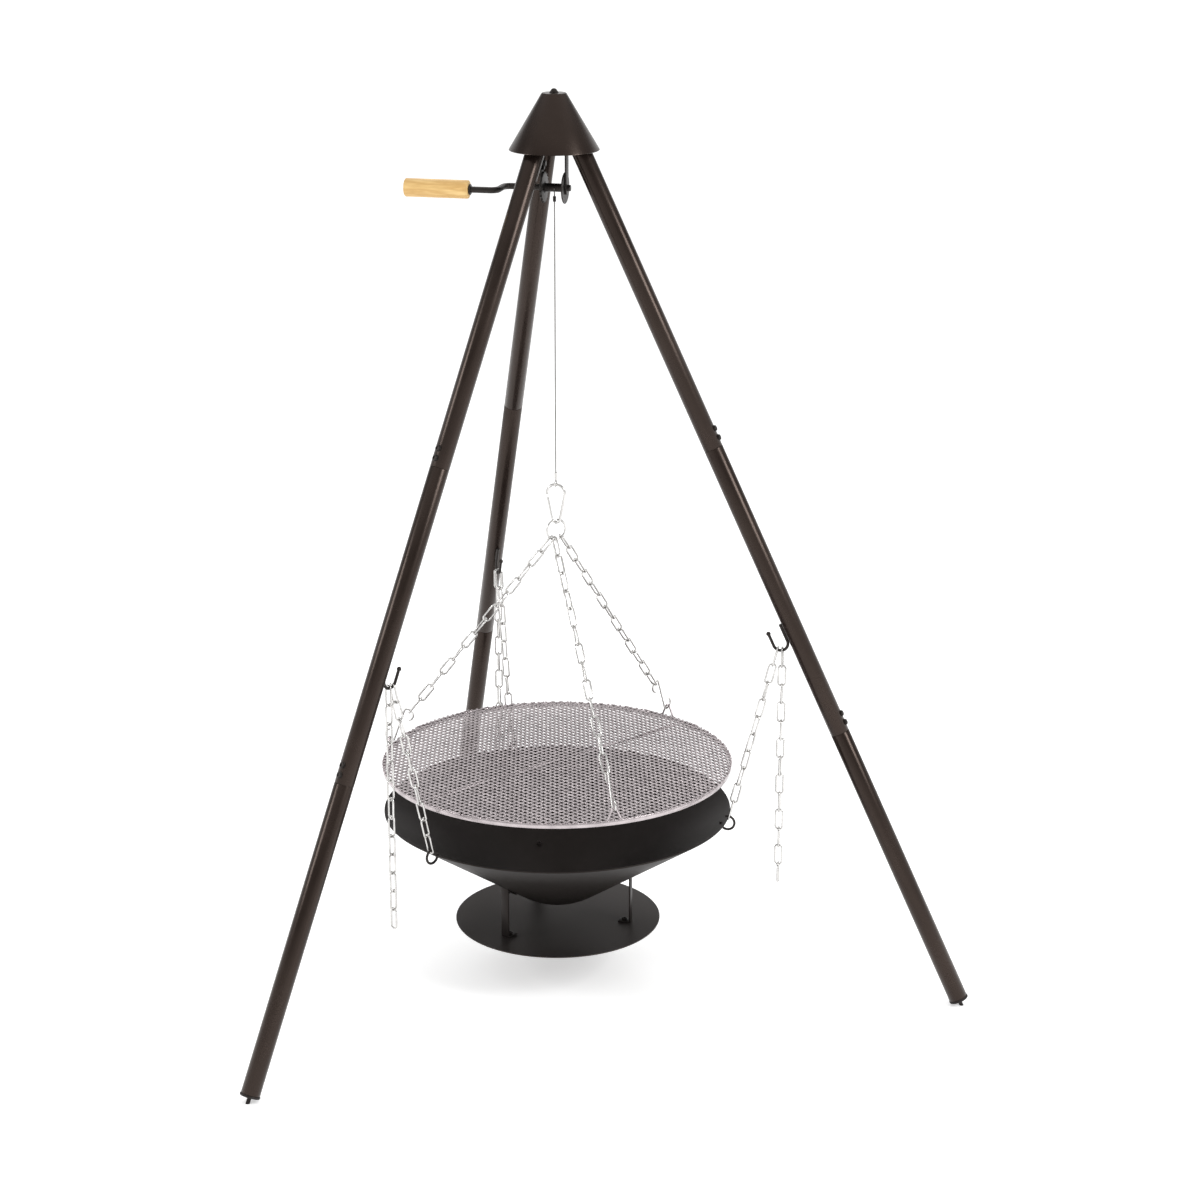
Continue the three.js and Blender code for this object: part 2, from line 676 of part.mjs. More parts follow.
// ---------------------------------------------------------------- grate, its chains and the cable
const eyeZ = GRATE_Z + EYE_HEIGHT;
const eyeR = GRATE_R - HOOP_T / 2 - 1;
const EYE_SEAT = EYE_WIRE / Math.SQRT2 + SHOOK_WIRE / 2 + GAP;
const SHOOK_SEAT = seat(SHOOK_WIRE / 2);
const reach =
  seat(RING_WIRE / 2) + (GRATE_CHAIN_LINKS - 1) * LINK_PITCH + SHOOK_SEAT + SHOOK_LENGTH - EYE_SEAT;
const ringZ = eyeZ + Math.sqrt(reach ** 2 - eyeR ** 2) + RING_R;
const ringSide = atAzimuth(RING_TURN, 1, 0);

// The point of the lift ring's wire where a chain that leads to the eye pulls square to the wire.
function ringPoint(eye) {
  const lead = eye.clone().sub(new THREE.Vector3(0, 0, ringZ - RING_R)).normalize();
  const a = Math.atan2(lead.dot(ringSide), -lead.z);
  const point = new THREE.Vector3(0, 0, ringZ - RING_R * Math.cos(a));
  return { point: point.addScaledVector(ringSide, RING_R * Math.sin(a)), angle: a };
}

// An S of two open bends: down is the direction of the pull and side is where the upper tip lies.
function sHook(top, down, side) {
  const upper = top.clone().addScaledVector(down, SHOOK_BEND_R);
  const lower = top.clone().addScaledVector(down, SHOOK_LENGTH - SHOOK_BEND_R);
  return wire(
    [
      ...arc(upper, down, side, SHOOK_BEND_R, 55, 245, 8),
      ...arc(lower, down, side, SHOOK_BEND_R, 65, -125, 8),
    ],
    SHOOK_WIRE,
    6,
    26,
  );
}

for (const [name, azimuth] of Object.entries(GRATE_EYE_AZIMUTHS)) {
  const eye = atAzimuth(azimuth, eyeR, eyeZ);
  const start = ringPoint(eye);
  const down = eye.clone().sub(start.point).normalize();
  const round = atAzimuth(azimuth + 90, 1, 0);
  const tangent = ringSide.clone().multiplyScalar(Math.cos(start.angle)).addScaledVector(UP, Math.sin(start.angle));
  const bottom = eye.clone().addScaledVector(down, EYE_SEAT);
  const top = bottom.clone().addScaledVector(down, -SHOOK_LENGTH);
  const first = start.point.clone().addScaledVector(down, seat(RING_WIRE / 2));
  const last = top.clone().addScaledVector(down, -SHOOK_SEAT);
  const outward = round.clone().cross(down).normalize();
  piece(
    `grate_chain_${name}`,
    chain(first, last, GRATE_CHAIN_LINKS, down.clone().cross(tangent), round),
    ZINC,
  );
  piece(`s_hook_${name}`, sHook(top, down, outward), ZINC);
}

function grateFrame() {
  const top = GRATE_Z - SHEET_T - GAP;
  const hoop = ringSolid(GRATE_R - HOOP_T - 0.5, GRATE_R - 0.5, top - HOOP_H, top, 48);
  const half = GRATE_R - HOOP_T / 2;
  const rodZ = top - ROD_D / 2;
  const rod = rodBetween(atAzimuth(ROD_AZIMUTH, half, rodZ), atAzimuth(ROD_AZIMUTH, -half, rodZ), ROD_D / 2, 8);
  const outline = (wireInset) => {
    const low = top - 2 + wireInset;
    const high = eyeZ + EYE_WIRE / 2 - wireInset;
    const foot = EYE_BASE_W / 2 - wireInset * 1.2;
    const head = EYE_TOP_W / 2 - wireInset * 0.5;
    return [
      [-foot, low],
      [foot, low],
      [head, high],
      [-head, high],
    ];
  };
  const eyes = Object.values(GRATE_EYE_AZIMUTHS).map((azimuth) =>
    uprightPlate(outline(0), EYE_WIRE - 0.5, [outline(EYE_WIRE)])
      .rotateZ(Math.PI / 2)
      .translate(eyeR, 0, 0)
      .rotateZ(rad(azimuth)),
  );
  return join(hoop, rod, ...eyes);
}

function grateMesh() {
  const half = (MESH_PITCH - MESH_STRAND) / 2;
  const count = Math.floor(GRATE_R / MESH_PITCH);
  const turn = rad(MESH_TURN);
  const holes = [];
  for (let i = -count; i <= count; i += 1)
    for (let j = -count; j <= count; j += 1) {
      const corners = [
        [-half, -half],
        [-half, half],
        [half, half],
        [half, -half],
      ].map(([x, y]) => [x + (i + 0.5) * MESH_PITCH, y + (j + 0.5) * MESH_PITCH]);
      const inside = corners.every(([x, y]) => Math.hypot(x, y) < GRATE_R - 2 * MESH_STRAND);
      if (inside)
        holes.push(
          corners.map(([x, y]) => [
            x * Math.cos(turn) - y * Math.sin(turn),
            x * Math.sin(turn) + y * Math.cos(turn),
          ]),
        );
    }
  const rim = Array.from({ length: 48 }, (_, i) => {
    const a = (2 * Math.PI * i) / 48;
    return [GRATE_R * Math.cos(a), GRATE_R * Math.sin(a)];
  });
  const sheet = plate(rim, SHEET_T, holes).translate(0, 0, GRATE_Z - SHEET_T / 2);
  const notches = Object.values(GRATE_EYE_AZIMUTHS).map((azimuth) =>
    new THREE.BoxGeometry(2 * HOOP_T + 2, EYE_BASE_W + 4, 4 * SHEET_T)
      .translate(GRATE_R, 0, GRATE_Z)
      .rotateZ(rad(azimuth)),
  );
  return cut(sheet, ...notches);
}

piece("grate_frame", grateFrame(), CHROME);
piece("grate_mesh", grateMesh(), CHROME);

const ringGeometry = new THREE.TorusGeometry(RING_R, RING_WIRE / 2, 6, 20)
  .rotateX(Math.PI / 2)
  .rotateZ(rad(RING_TURN))
  .translate(0, 0, ringZ);
piece("lift_ring", toGeometry(toSolid(ringGeometry)), ZINC);

// Carabiner frame: its own plane is XZ and z = 0 is the centre of the wire at its narrow, lower end.
const carabinerZ = ringZ + RING_R - RING_WIRE / 2 - CARABINER_WIRE / 2 - SEAT_GAP;
const carabiner = new THREE.Group();
carabiner.rotation.z = rad(CARABINER_TURN);
carabiner.position.z = carabinerZ;
assembly.add(carabiner);
const crownR = (CARABINER_WIDTH - CARABINER_WIRE) / 2;
const carabinerTop = CARABINER_HEIGHT - CARABINER_WIRE;
const sideAngle = THREE.MathUtils.radToDeg(
  Math.asin((crownR - CARABINER_NOSE_R) / (carabinerTop - crownR - CARABINER_NOSE_R)),
);

const crownPoint = (angle) =>
  new THREE.Vector3(crownR * Math.cos(rad(angle)), 0, carabinerTop - crownR + crownR * Math.sin(rad(angle)));
const nosePoint = (angle) =>
  new THREE.Vector3(
    CARABINER_NOSE_R * Math.cos(rad(angle)),
    0,
    CARABINER_NOSE_R + CARABINER_NOSE_R * Math.sin(rad(angle)),
  );
const gateLow = nosePoint(180 + sideAngle);
const gateHigh = crownPoint(180 + sideAngle);

function carabinerBody() {
  const path = [
    ...[215, 240, 270, 300, 330].map(nosePoint),
    nosePoint(360 - sideAngle),
    nosePoint(360 - sideAngle).lerp(crownPoint(-sideAngle), 0.5),
    crownPoint(-sideAngle),
    ...[15, 45, 70, 90, 110, 135, 165].map(crownPoint),
    gateHigh.clone().lerp(gateLow, 0.02),
  ];
  return wire(path, CARABINER_WIRE, 6, 30);
}

const gateLine = (share) => gateLow.clone().lerp(gateHigh, share);
piece("carabiner_body", carabinerBody(), ZINC, carabiner);
piece("carabiner_gate", rodBetween(gateLine(0.06), gateLine(0.88), GATE_WIRE / 2, 8), ZINC, carabiner);

// The cable's lower end: a pressed ferrule with an eye that loops under the carabiner's crown.
const crownWireZ = carabinerZ + carabinerTop;
const eyeCentreZ = crownWireZ - CARABINER_WIRE / 2 - CABLE_D / 2 - GAP + CABLE_EYE_R;
const ferruleZ = eyeCentreZ + CABLE_EYE_R - 0.5;
const ferruleTop = ferruleZ + FERRULE_LENGTH;
const cableEye = new THREE.TorusGeometry(CABLE_EYE_R, CABLE_D / 2, 6, 14)
  .rotateX(Math.PI / 2)
  .rotateZ(rad(CARABINER_TURN + 90))
  .translate(0, 0, eyeCentreZ);
piece("cable_ferrule", join(cableEye, ringSolid(0, FERRULE_D / 2, ferruleZ, ferruleTop, 8)), ZINC);
piece("cable", ringSolid(0, CABLE_D / 2, ferruleTop + GAP, AXLE_Z, 8), ZINC);
const stopTop = AXLE_Z - STOP_DROP;
piece("cable_stop", ringSolid(CABLE_D / 2 + GAP, STOP_D / 2, stopTop - STOP_LENGTH, stopTop, 8), BLACK_STEEL);

// ---------------------------------------------------------------- fire bowl
// Wall directions in a radial, vertical plane: up the wall, and out of its underside.
const upWall = (azimuth) => atAzimuth(azimuth, cosB, sinB);
const offWall = (azimuth) => atAzimuth(azimuth, sinB, -cosB);
const rimMiddle = (azimuth, z) => atAzimuth(azimuth, BOWL_R - (BOWL_WALL / 2) * sinB, z);
const hookCentre = (azimuth, rimZ) =>
  rimMiddle(azimuth, rimZ - (BOWL_WALL / 2) * cosB)
    .addScaledVector(upWall(azimuth), -BOWL_HOOK_INSET)
    .addScaledVector(offWall(azimuth), BOWL_HOOK_DROP);

const bowlReach =
  seat(HOOK_WIRE / 2) + (BOWL_CHAIN_LINKS - 1) * LINK_PITCH + seat(BOWL_HOOK_WIRE / 2) + BOWL_HOOK_R;
const flatHook = hookCentre(0, 0);
const pullWidth = legPoint(0, HOOK_CENTRE_X, HOOK_BEND_ALONG).x - flatHook.x;
const pullAngle = THREE.MathUtils.radToDeg(Math.asin(pullWidth / (bowlReach + HOOK_BEND_R)));
const HOOK_CHAIN_ANGLE = pullAngle + HOOK_CHAIN_ASIDE; // from the bend's lowest point towards its free side
const hangPoint = hookPoint(0, HOOK_CHAIN_ANGLE);
const rimZ = hangPoint.z - Math.sqrt(bowlReach ** 2 - (hangPoint.x - flatHook.x) ** 2) - flatHook.z;

// The wall's underside at a radius, out of the rounded bottom.
const apexZ = rimZ - BOWL_R * Math.tan(rad(BOWL_SLOPE));
const insideZ = (radius) => apexZ + radius * Math.tan(rad(BOWL_SLOPE));
const undersideZ = (radius) => insideZ(radius) - BOWL_WALL / cosB;

function bowl() {
  const inner = [[BOWL_R, rimZ]];
  const outer = [[BOWL_R, rimZ - BOWL_WALL / cosB]];
  const ballZ = apexZ + BOWL_BOTTOM_R / cosB;
  for (const part of [1, 0.75, 0.5, 0.25, 0]) {
    const a = rad(BOWL_SLOPE * part);
    inner.push([BOWL_BOTTOM_R * Math.sin(a), ballZ - BOWL_BOTTOM_R * Math.cos(a)]);
    outer.push([(BOWL_BOTTOM_R + BOWL_WALL) * Math.sin(a), ballZ - (BOWL_BOTTOM_R + BOWL_WALL) * Math.cos(a)]);
  }
  const shell = revolve([...outer.reverse(), ...inner], 36);
  const across = Math.sqrt(BOWL_HOOK_R ** 2 - BOWL_HOOK_DROP ** 2);
  const holes = Object.values(LEG_AZIMUTHS).flatMap((azimuth) => {
    const hookHole = rimMiddle(azimuth, rimZ).addScaledVector(upWall(azimuth), -BOWL_HOOK_INSET - across);
    const boltHole = atAzimuth(azimuth, bowlBoltR, insideZ(bowlBoltR));
    const drill = (at, radius) =>
      rodBetween(
        at.clone().addScaledVector(offWall(azimuth), 8),
        at.clone().addScaledVector(offWall(azimuth), -8),
        radius,
        10,
      );
    return [drill(hookHole, BOWL_HOOK_HOLE_D / 2), drill(boltHole, BOLT_D / 2 + GAP)];
  });
  return cut(shell, ...holes);
}

// An open ring that goes through the hole below the rim and round the rim's edge.
function bowlHook(azimuth) {
  const centre = hookCentre(azimuth, rimZ);
  const inward = offWall(azimuth).negate();
  return wire(arc(centre, upWall(azimuth), inward, BOWL_HOOK_R, 140, 435, 14), BOWL_HOOK_WIRE, 6, 22);
}

const bowlDepth = BOWL_R * Math.tan(rad(BOWL_SLOPE)) - BOWL_BOTTOM_R / cosB + BOWL_BOTTOM_R + BOWL_WALL;
const discTop = rimZ - bowlDepth - DISC_CLEAR;
const webInner = BRACKET_R - BRACKET_T;
const tabEnd = BRACKET_R - BRACKET_TAB;
const discBoltR = tabEnd + BRACKET_TAB * 0.42;
const bowlBoltR = tabEnd + BRACKET_TAB * 0.5;

function bracket(azimuth) {
  const low = discTop + GAP;
  const under = (r) => undersideZ(r) - GAP / cosB;
  const slant = BRACKET_T / cosB;
  const bar = uprightPlate(
    [
      [tabEnd, low],
      [BRACKET_R, low],
      [BRACKET_R, under(BRACKET_R)],
      [tabEnd, under(tabEnd)],
      [tabEnd, under(tabEnd) - slant],
      [webInner, under(webInner) - slant],
      [webInner, low + BRACKET_T],
      [tabEnd, low + BRACKET_T],
    ],
    BRACKET_W,
  );
  const at = (z) => new THREE.Vector3(discBoltR, 0, z);
  const headTop = low + BRACKET_T + BOLT_HEAD_H;
  const footBolt = rodBetween(at(discTop - DISC_T - 5), at(headTop), BOLT_D / 2, 8);
  const footHead = rodBetween(at(low + BRACKET_T - 0.5), at(headTop), BOLT_HEAD_D / 2, 10);
  const out = offWall(0);
  const wall = new THREE.Vector3(bowlBoltR, 0, insideZ(bowlBoltR));
  const onWall = (depth) => wall.clone().addScaledVector(out, depth);
  const wallBolt = rodBetween(onWall(-HEAD_GAP - 1), onWall(BOWL_WALL + BRACKET_T + 6), BOLT_D / 2, 8);
  const wallHead = rodBetween(onWall(-HEAD_GAP - BOLT_HEAD_H), onWall(-HEAD_GAP), BOLT_HEAD_D / 2, 10);
  return join(bar, footBolt, footHead, wallBolt, wallHead).rotateZ(rad(azimuth));
}

function baseDisc() {
  const disc = ringSolid(0, DISC_R, discTop - DISC_T, discTop, 48);
  const holes = Object.values(LEG_AZIMUTHS).map((azimuth) =>
    rodBetween(
      atAzimuth(azimuth, discBoltR, discTop - 20),
      atAzimuth(azimuth, discBoltR, discTop + 20),
      BOLT_D / 2 + GAP,
      8,
    ),
  );
  return cut(disc, ...holes);
}

piece("fire_bowl", bowl(), BOWL_COAT);
piece("base_disc", baseDisc(), BOWL_COAT);

const tailPivots = {};
for (const [side, azimuth] of Object.entries(LEG_AZIMUTHS)) {
  const round = atAzimuth(azimuth + 90, 1, 0);
  const from = hookPoint(azimuth, HOOK_CHAIN_ANGLE);
  const centre = hookCentre(azimuth, rimZ);
  const down = centre.clone().sub(from).normalize();
  const first = from.clone().addScaledVector(down, seat(HOOK_WIRE / 2));
  const last = centre.clone().addScaledVector(down, -BOWL_HOOK_R - seat(BOWL_HOOK_WIRE / 2));
  const pivot = hookPoint(azimuth, HOOK_TAIL_ANGLE);
  const tailTop = pivot.clone().addScaledVector(UP, -seat(HOOK_WIRE / 2));
  const tailEnd = tailTop.clone().addScaledVector(UP, -(TAIL_LINKS - 1) * LINK_PITCH);
  const tailTurn = TAIL_LINKS % 2 ? round : atAzimuth(azimuth, 1, 0);
  tailPivots[side] = pivot;
  piece(`bowl_chain_${side}`, chain(first, last, BOWL_CHAIN_LINKS, round, round), ZINC);
  piece(`chain_tail_${side}`, chain(tailTop, tailEnd, TAIL_LINKS, round, tailTurn), ZINC);
  piece(`bowl_hook_${side}`, bowlHook(azimuth), BLACK_STEEL);
  piece(`bracket_${side}`, bracket(azimuth), BOWL_COAT);
}

// ---------------------------------------------------------------- place the whole on its ground point
assembly.updateMatrixWorld(true);
const box = new THREE.Box3().setFromObject(assembly, true);
const shift = new THREE.Vector3(-(box.min.x + box.max.x) / 2, -(box.min.y + box.max.y) / 2, -box.min.z);
assembly.position.copy(shift);

export default assembly;
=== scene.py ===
"""Campfire tripod grate: the finished pieces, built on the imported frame."""

import logging
import math
import random
from dataclasses import dataclass, replace
from enum import Enum
from typing import Callable, Iterable, Sequence

import bpy
from mathutils import Matrix, Vector


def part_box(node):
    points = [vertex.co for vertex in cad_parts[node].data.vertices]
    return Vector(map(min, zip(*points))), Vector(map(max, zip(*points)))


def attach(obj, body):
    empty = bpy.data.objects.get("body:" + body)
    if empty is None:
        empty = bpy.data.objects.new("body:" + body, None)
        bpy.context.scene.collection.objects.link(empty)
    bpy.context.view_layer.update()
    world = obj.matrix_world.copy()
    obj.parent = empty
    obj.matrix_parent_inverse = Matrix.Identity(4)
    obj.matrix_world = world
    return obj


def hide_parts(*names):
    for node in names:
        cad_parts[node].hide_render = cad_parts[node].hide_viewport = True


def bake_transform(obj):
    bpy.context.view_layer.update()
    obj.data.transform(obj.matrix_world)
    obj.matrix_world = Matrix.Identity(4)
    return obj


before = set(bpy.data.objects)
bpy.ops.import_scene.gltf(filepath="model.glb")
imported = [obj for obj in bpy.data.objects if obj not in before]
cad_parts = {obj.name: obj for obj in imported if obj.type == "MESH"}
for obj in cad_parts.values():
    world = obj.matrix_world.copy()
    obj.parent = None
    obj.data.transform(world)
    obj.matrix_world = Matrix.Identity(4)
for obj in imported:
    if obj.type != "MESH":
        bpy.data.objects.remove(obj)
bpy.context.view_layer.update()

LOG = logging.getLogger("tripod_grate")
MM = 0.001  # metres in a millimetre
Z = Vector((0, 0, 1))
Point = Sequence[float]
Stops = Sequence[tuple[float, Sequence[float]]]
AXLE_Z = 1596.5  # height of the winch's axle and of the cable's upper end, in millimetres
SHARP = math.radians(40)  # a bevel rounds the edges that turn by more than this


class Side(Enum):
    """The three legs by the direction that each stands in, in degrees from +X."""

    right = -14
    back = 106
    left = 226


class Eye(Enum):
    """The grate's three hanging eyes by direction, in degrees from +X."""

    left = 168
    right = 48
    front = -72


# ------------------------------------------------------------------ shader tools


class Value:
    """A shader socket that Python operators build Math nodes on."""

    def __init__(self, shader: "Shader", socket: bpy.types.NodeSocket) -> None:
        """Keep the shader that owns the socket."""
        self.shader = shader
        self.socket = socket

    def _math(self, operation: str, *terms: object) -> "Value":
        """Add one Math node.

        Args:
            operation: the Math node's operation.
            terms: its inputs, as values or numbers.

        Returns:
            The node's output.
        """
        return self.shader.node("ShaderNodeMath", {"operation": operation}, dict(enumerate(terms)))

    def __add__(self, other: object) -> "Value":
        """This plus other."""
        return self._math("ADD", self, other)

    def __radd__(self, other: object) -> "Value":
        """Other plus this."""
        return self._math("ADD", other, self)

    def __sub__(self, other: object) -> "Value":
        """This minus other."""
        return self._math("SUBTRACT", self, other)

    def __rsub__(self, other: object) -> "Value":
        """Other minus this."""
        return self._math("SUBTRACT", other, self)

    def __mul__(self, other: object) -> "Value":
        """This times other."""
        return self._math("MULTIPLY", self, other)

    def __rmul__(self, other: object) -> "Value":
        """Other times this."""
        return self._math("MULTIPLY", other, self)


class Shader:
    """One material and the nodes that make it."""

    def __init__(self, name: str) -> None:
        """Start a material with only a Principled shader in it.

        Args:
            name: the material's name.
        """
        self.material = bpy.data.materials.new(name)
        self.material.use_nodes = True
        self.nodes = self.material.node_tree.nodes
        self.links = self.material.node_tree.links
        self.surface = next(n for n in self.nodes if n.type == "BSDF_PRINCIPLED")

    def node(
        self, kind: str, settings: dict | None = None, inputs: dict | None = None, output: object = 0
    ) -> Value:
        """Add a node.

        Args:
            kind: the node's type.
            settings: its properties, set first. A key "stops" holds a ramp's stops.
            inputs: socket index or name to a value or a link.
            output: index or name of the output to return.

        Returns:
            The chosen output.
        """
        node = self.nodes.new(kind)
        for key, value in (settings or {}).items():
            if key == "stops":
                self.set_stops(node.color_ramp, value)
            else:
                setattr(node, key, value)
        for key, value in (inputs or {}).items():
            self.feed(node.inputs[key], value)
        return Value(self, node.outputs[output])

    @staticmethod
    def set_stops(ramp: bpy.types.ColorRamp, stops: Stops) -> None:
        """Set a colour ramp's stops.

        Args:
            ramp: the ramp.
            stops: a position and a colour for each stop.
        """
        while len(ramp.elements) < len(stops):
            ramp.elements.new(0.5)
        for element, (position, colour) in zip(ramp.elements, stops):
            element.position = position
            element.color = (*colour, 1)

    def feed(self, socket: bpy.types.NodeSocket, value: object) -> None:
        """Link a Value to a socket, or set the socket's own value.

        Args:
            socket: the input socket.
            value: a Value, a number, a vector or a colour.
        """
        if isinstance(value, Value):
            self.links.new(value.socket, socket)
        else:
            socket.default_value = value

    def noise(self, scale: float, detail: float = 3, stretch: Point = (1, 1, 1), turn: float = 0) -> Value:
        """Noise on object coordinates.

        Args:
            scale: blobs per metre, roughly.
            detail: octaves.
            stretch: scale along each axis, after the turn.
            turn: rotation about Z, in radians.

        Returns:
            The noise, from 0 to 1.
        """
        place = self.node("ShaderNodeTexCoord", output="Object")
        turned = self.node("ShaderNodeMapping", {}, {"Vector": place, "Rotation": (0, 0, turn)})
        scaled = self.node("ShaderNodeMapping", {}, {"Vector": turned, "Scale": stretch})
        return self.node("ShaderNodeTexNoise", {}, {"Vector": scaled, "Scale": scale, "Detail": detail})

    def ramp(self, factor: Value, stops: Stops) -> Value:
        """A colour ramp on a value."""
        return self.node("ShaderNodeValToRGB", {"stops": stops}, {0: factor})

    def mix(self, factor: object, first: object, second: object) -> Value:
        """Mix two colours by a factor."""
        return self.node("ShaderNodeMix", {"data_type": "RGBA"}, {0: factor, 6: first, 7: second}, 2)

    def set(self, **sockets: object) -> None:
        """Feed the Principled shader's sockets, with _ for each space in a name."""
        for name, value in sockets.items():
            self.feed(self.surface.inputs[name.replace("_", " ")], value)

    def bump(self, height: Value, strength: float, distance: float) -> None:
        """Raise the surface by a height.

        Args:
            height: the pattern, from 0 to 1.
            strength: the share of the full effect.
            distance: what a full step stands for, in metres.
        """
        inputs = {"Strength": strength, "Distance": distance, "Height": height}
        self.set(Normal=self.node("ShaderNodeBump", {}, inputs))


@dataclass(frozen=True)
class CoatFinish:
    """Baked powder or heat-resistant coat: a fine pebbled skin with faint cloudy wear."""

    name: str
    colour: tuple[float, float, float]
    worn: tuple[float, float, float]
    roughness: float
    pebble: float = 900
    pebble_depth: float = 0.00012
    cloud: float = 9
    slot: str = "powder_coat"
    shine: float = 0.3
    tint: tuple[float, float, float] = (1, 0.84, 0.78)

    def make(self) -> bpy.types.Material:
        """Build the material.

        Returns:
            The material.
        """
        shader = Shader(self.name)
        cloud = shader.noise(self.cloud, 5)
        skin = shader.noise(self.pebble, 2)
        wear = shader.ramp(cloud, [(0.35, (0, 0, 0)), (0.75, (1, 1, 1))])
        shader.set(
            Base_Color=shader.mix(wear, (*self.colour, 1), (*self.worn, 1)),
            Roughness=self.roughness + 0.14 * (cloud - 0.5) + 0.08 * (skin - 0.5),
            Metallic=0.0,
            Specular_IOR_Level=self.shine,
            Specular_Tint=(*self.tint, 1),
        )
        shader.bump(skin, 0.35, self.pebble_depth)
        return shader.material


@dataclass(frozen=True)
class PlateFinish:
    """Bright plated metal with a slightly uneven, finely scratched surface."""

    name: str
    colour: tuple[float, float, float]
    dull: tuple[float, float, float]
    roughness: float
    grain: float = 260
    slot: str = "zinc"

    def make(self) -> bpy.types.Material:
        """Build the material.

        Returns:
            The material.
        """
        shader = Shader(self.name)
        bloom = shader.noise(38, 4)
        scratch = shader.noise(self.grain, 3, (1, 1, 0.15))
        tarnish = shader.ramp(bloom, [(0.4, (0, 0, 0)), (0.8, (1, 1, 1))])
        shader.set(
            Base_Color=shader.mix(tarnish, (*self.colour, 1), (*self.dull, 1)),
            Roughness=self.roughness + 0.16 * (bloom - 0.5) + 0.1 * (scratch - 0.5),
            Metallic=1.0,
        )
        shader.bump(scratch, 0.2, 0.00006)
        return shader.material


@dataclass(frozen=True)
class WoodFinish:
    """Turned pale wood with its grain along the grip."""

    name: str
    light: tuple[float, float, float]
    dark: tuple[float, float, float]
    turn: float
    slot: str = "grip_wood"

    def make(self) -> bpy.types.Material:
        """Build the material.

        Returns:
            The material.
        """
        shader = Shader(self.name)
        grain = shader.noise(60, 6, (0.12, 1, 1), self.turn)
        pores = shader.noise(420, 3, (0.08, 1, 1), self.turn)
        bands = shader.ramp(grain, [(0.38, self.light), (0.52, self.dark), (0.62, self.light)])
        fleck = shader.ramp(pores, [(0.55, (0, 0, 0)), (0.72, (1, 1, 1))])
        shader.set(
            Base_Color=shader.mix(0.35 * fleck, bands, (*self.dark, 1)),
            Roughness=0.46 + 0.2 * (pores - 0.5),
        )
        shader.bump(pores, 0.3, 0.00015)
        return shader.material


Finish = CoatFinish | PlateFinish | WoodFinish

LEG_COAT = CoatFinish(
    "leg_powder_coat",
    colour=(0.0110, 0.0074, 0.0060),
    worn=(0.019, 0.0134, 0.0110),
    roughness=0.26,
    shine=0.36,
    tint=(1, 0.78, 0.68),
)
BOWL_COAT = CoatFinish(
    "bowl_heat_coat",
    colour=(0.0125, 0.0108, 0.0100),
    worn=(0.018, 0.0158, 0.0148),
    roughness=0.4,
    pebble=700,
    pebble_depth=0.0001,
    cloud=6,
    slot="bowl_coat",
    shine=0.14,
)
DISC_COAT = replace(
    BOWL_COAT,
    name="disc_heat_coat",
    colour=(0.0165, 0.0142, 0.0132),
    worn=(0.024, 0.0210, 0.0196),
    roughness=0.42,
    shine=0.4,
)
BLACK_STEEL = CoatFinish(
    "blackened_steel",
    colour=(0.011, 0.0105, 0.010),
    worn=(0.022, 0.021, 0.020),
    roughness=0.4,
    pebble=1400,
    pebble_depth=0.00005,
    cloud=30,
    slot="black_steel",
)
FOOT_PLASTIC = CoatFinish(
    "foot_moulding",
    colour=(0.010, 0.010, 0.010),
    worn=(0.016, 0.016, 0.016),
    roughness=0.55,
    pebble=1600,
    pebble_depth=0.00005,
    cloud=40,
    slot="foot_plastic",
)
ZINC = PlateFinish("zinc_plate", colour=(0.66, 0.65, 0.635), dull=(0.42, 0.41, 0.40), roughness=0.2)
ROPE = PlateFinish("cable_wire", colour=(0.22, 0.21, 0.20), dull=(0.13, 0.125, 0.12), roughness=0.34)
CHROME = PlateFinish(
    "chrome_plate",
    colour=(0.51, 0.462, 0.470),
    dull=(0.34, 0.305, 0.312),
    roughness=0.26,
    grain=180,
    slot="grate_chrome",
)
PINE = WoodFinish(
    "turned_pine", light=(0.80, 0.56, 0.235), dark=(0.60, 0.36, 0.12), turn=math.radians(-166)
)


# ------------------------------------------------------------------ modelling bench


@dataclass(frozen=True)
class Fastener:
    """A bolt's head, a nut or a washer, in millimetres."""

    width: float
    height: float
    sides: int
    domed: bool = False


BUTTON_HEAD = Fastener(11, 3.6, 32, True)
WASHER = Fastener(13, 1.0, 32)
WALL_NUT = Fastener(10, 4.6, 6)
DISC_NUT = Fastener(10, 4.0, 6)


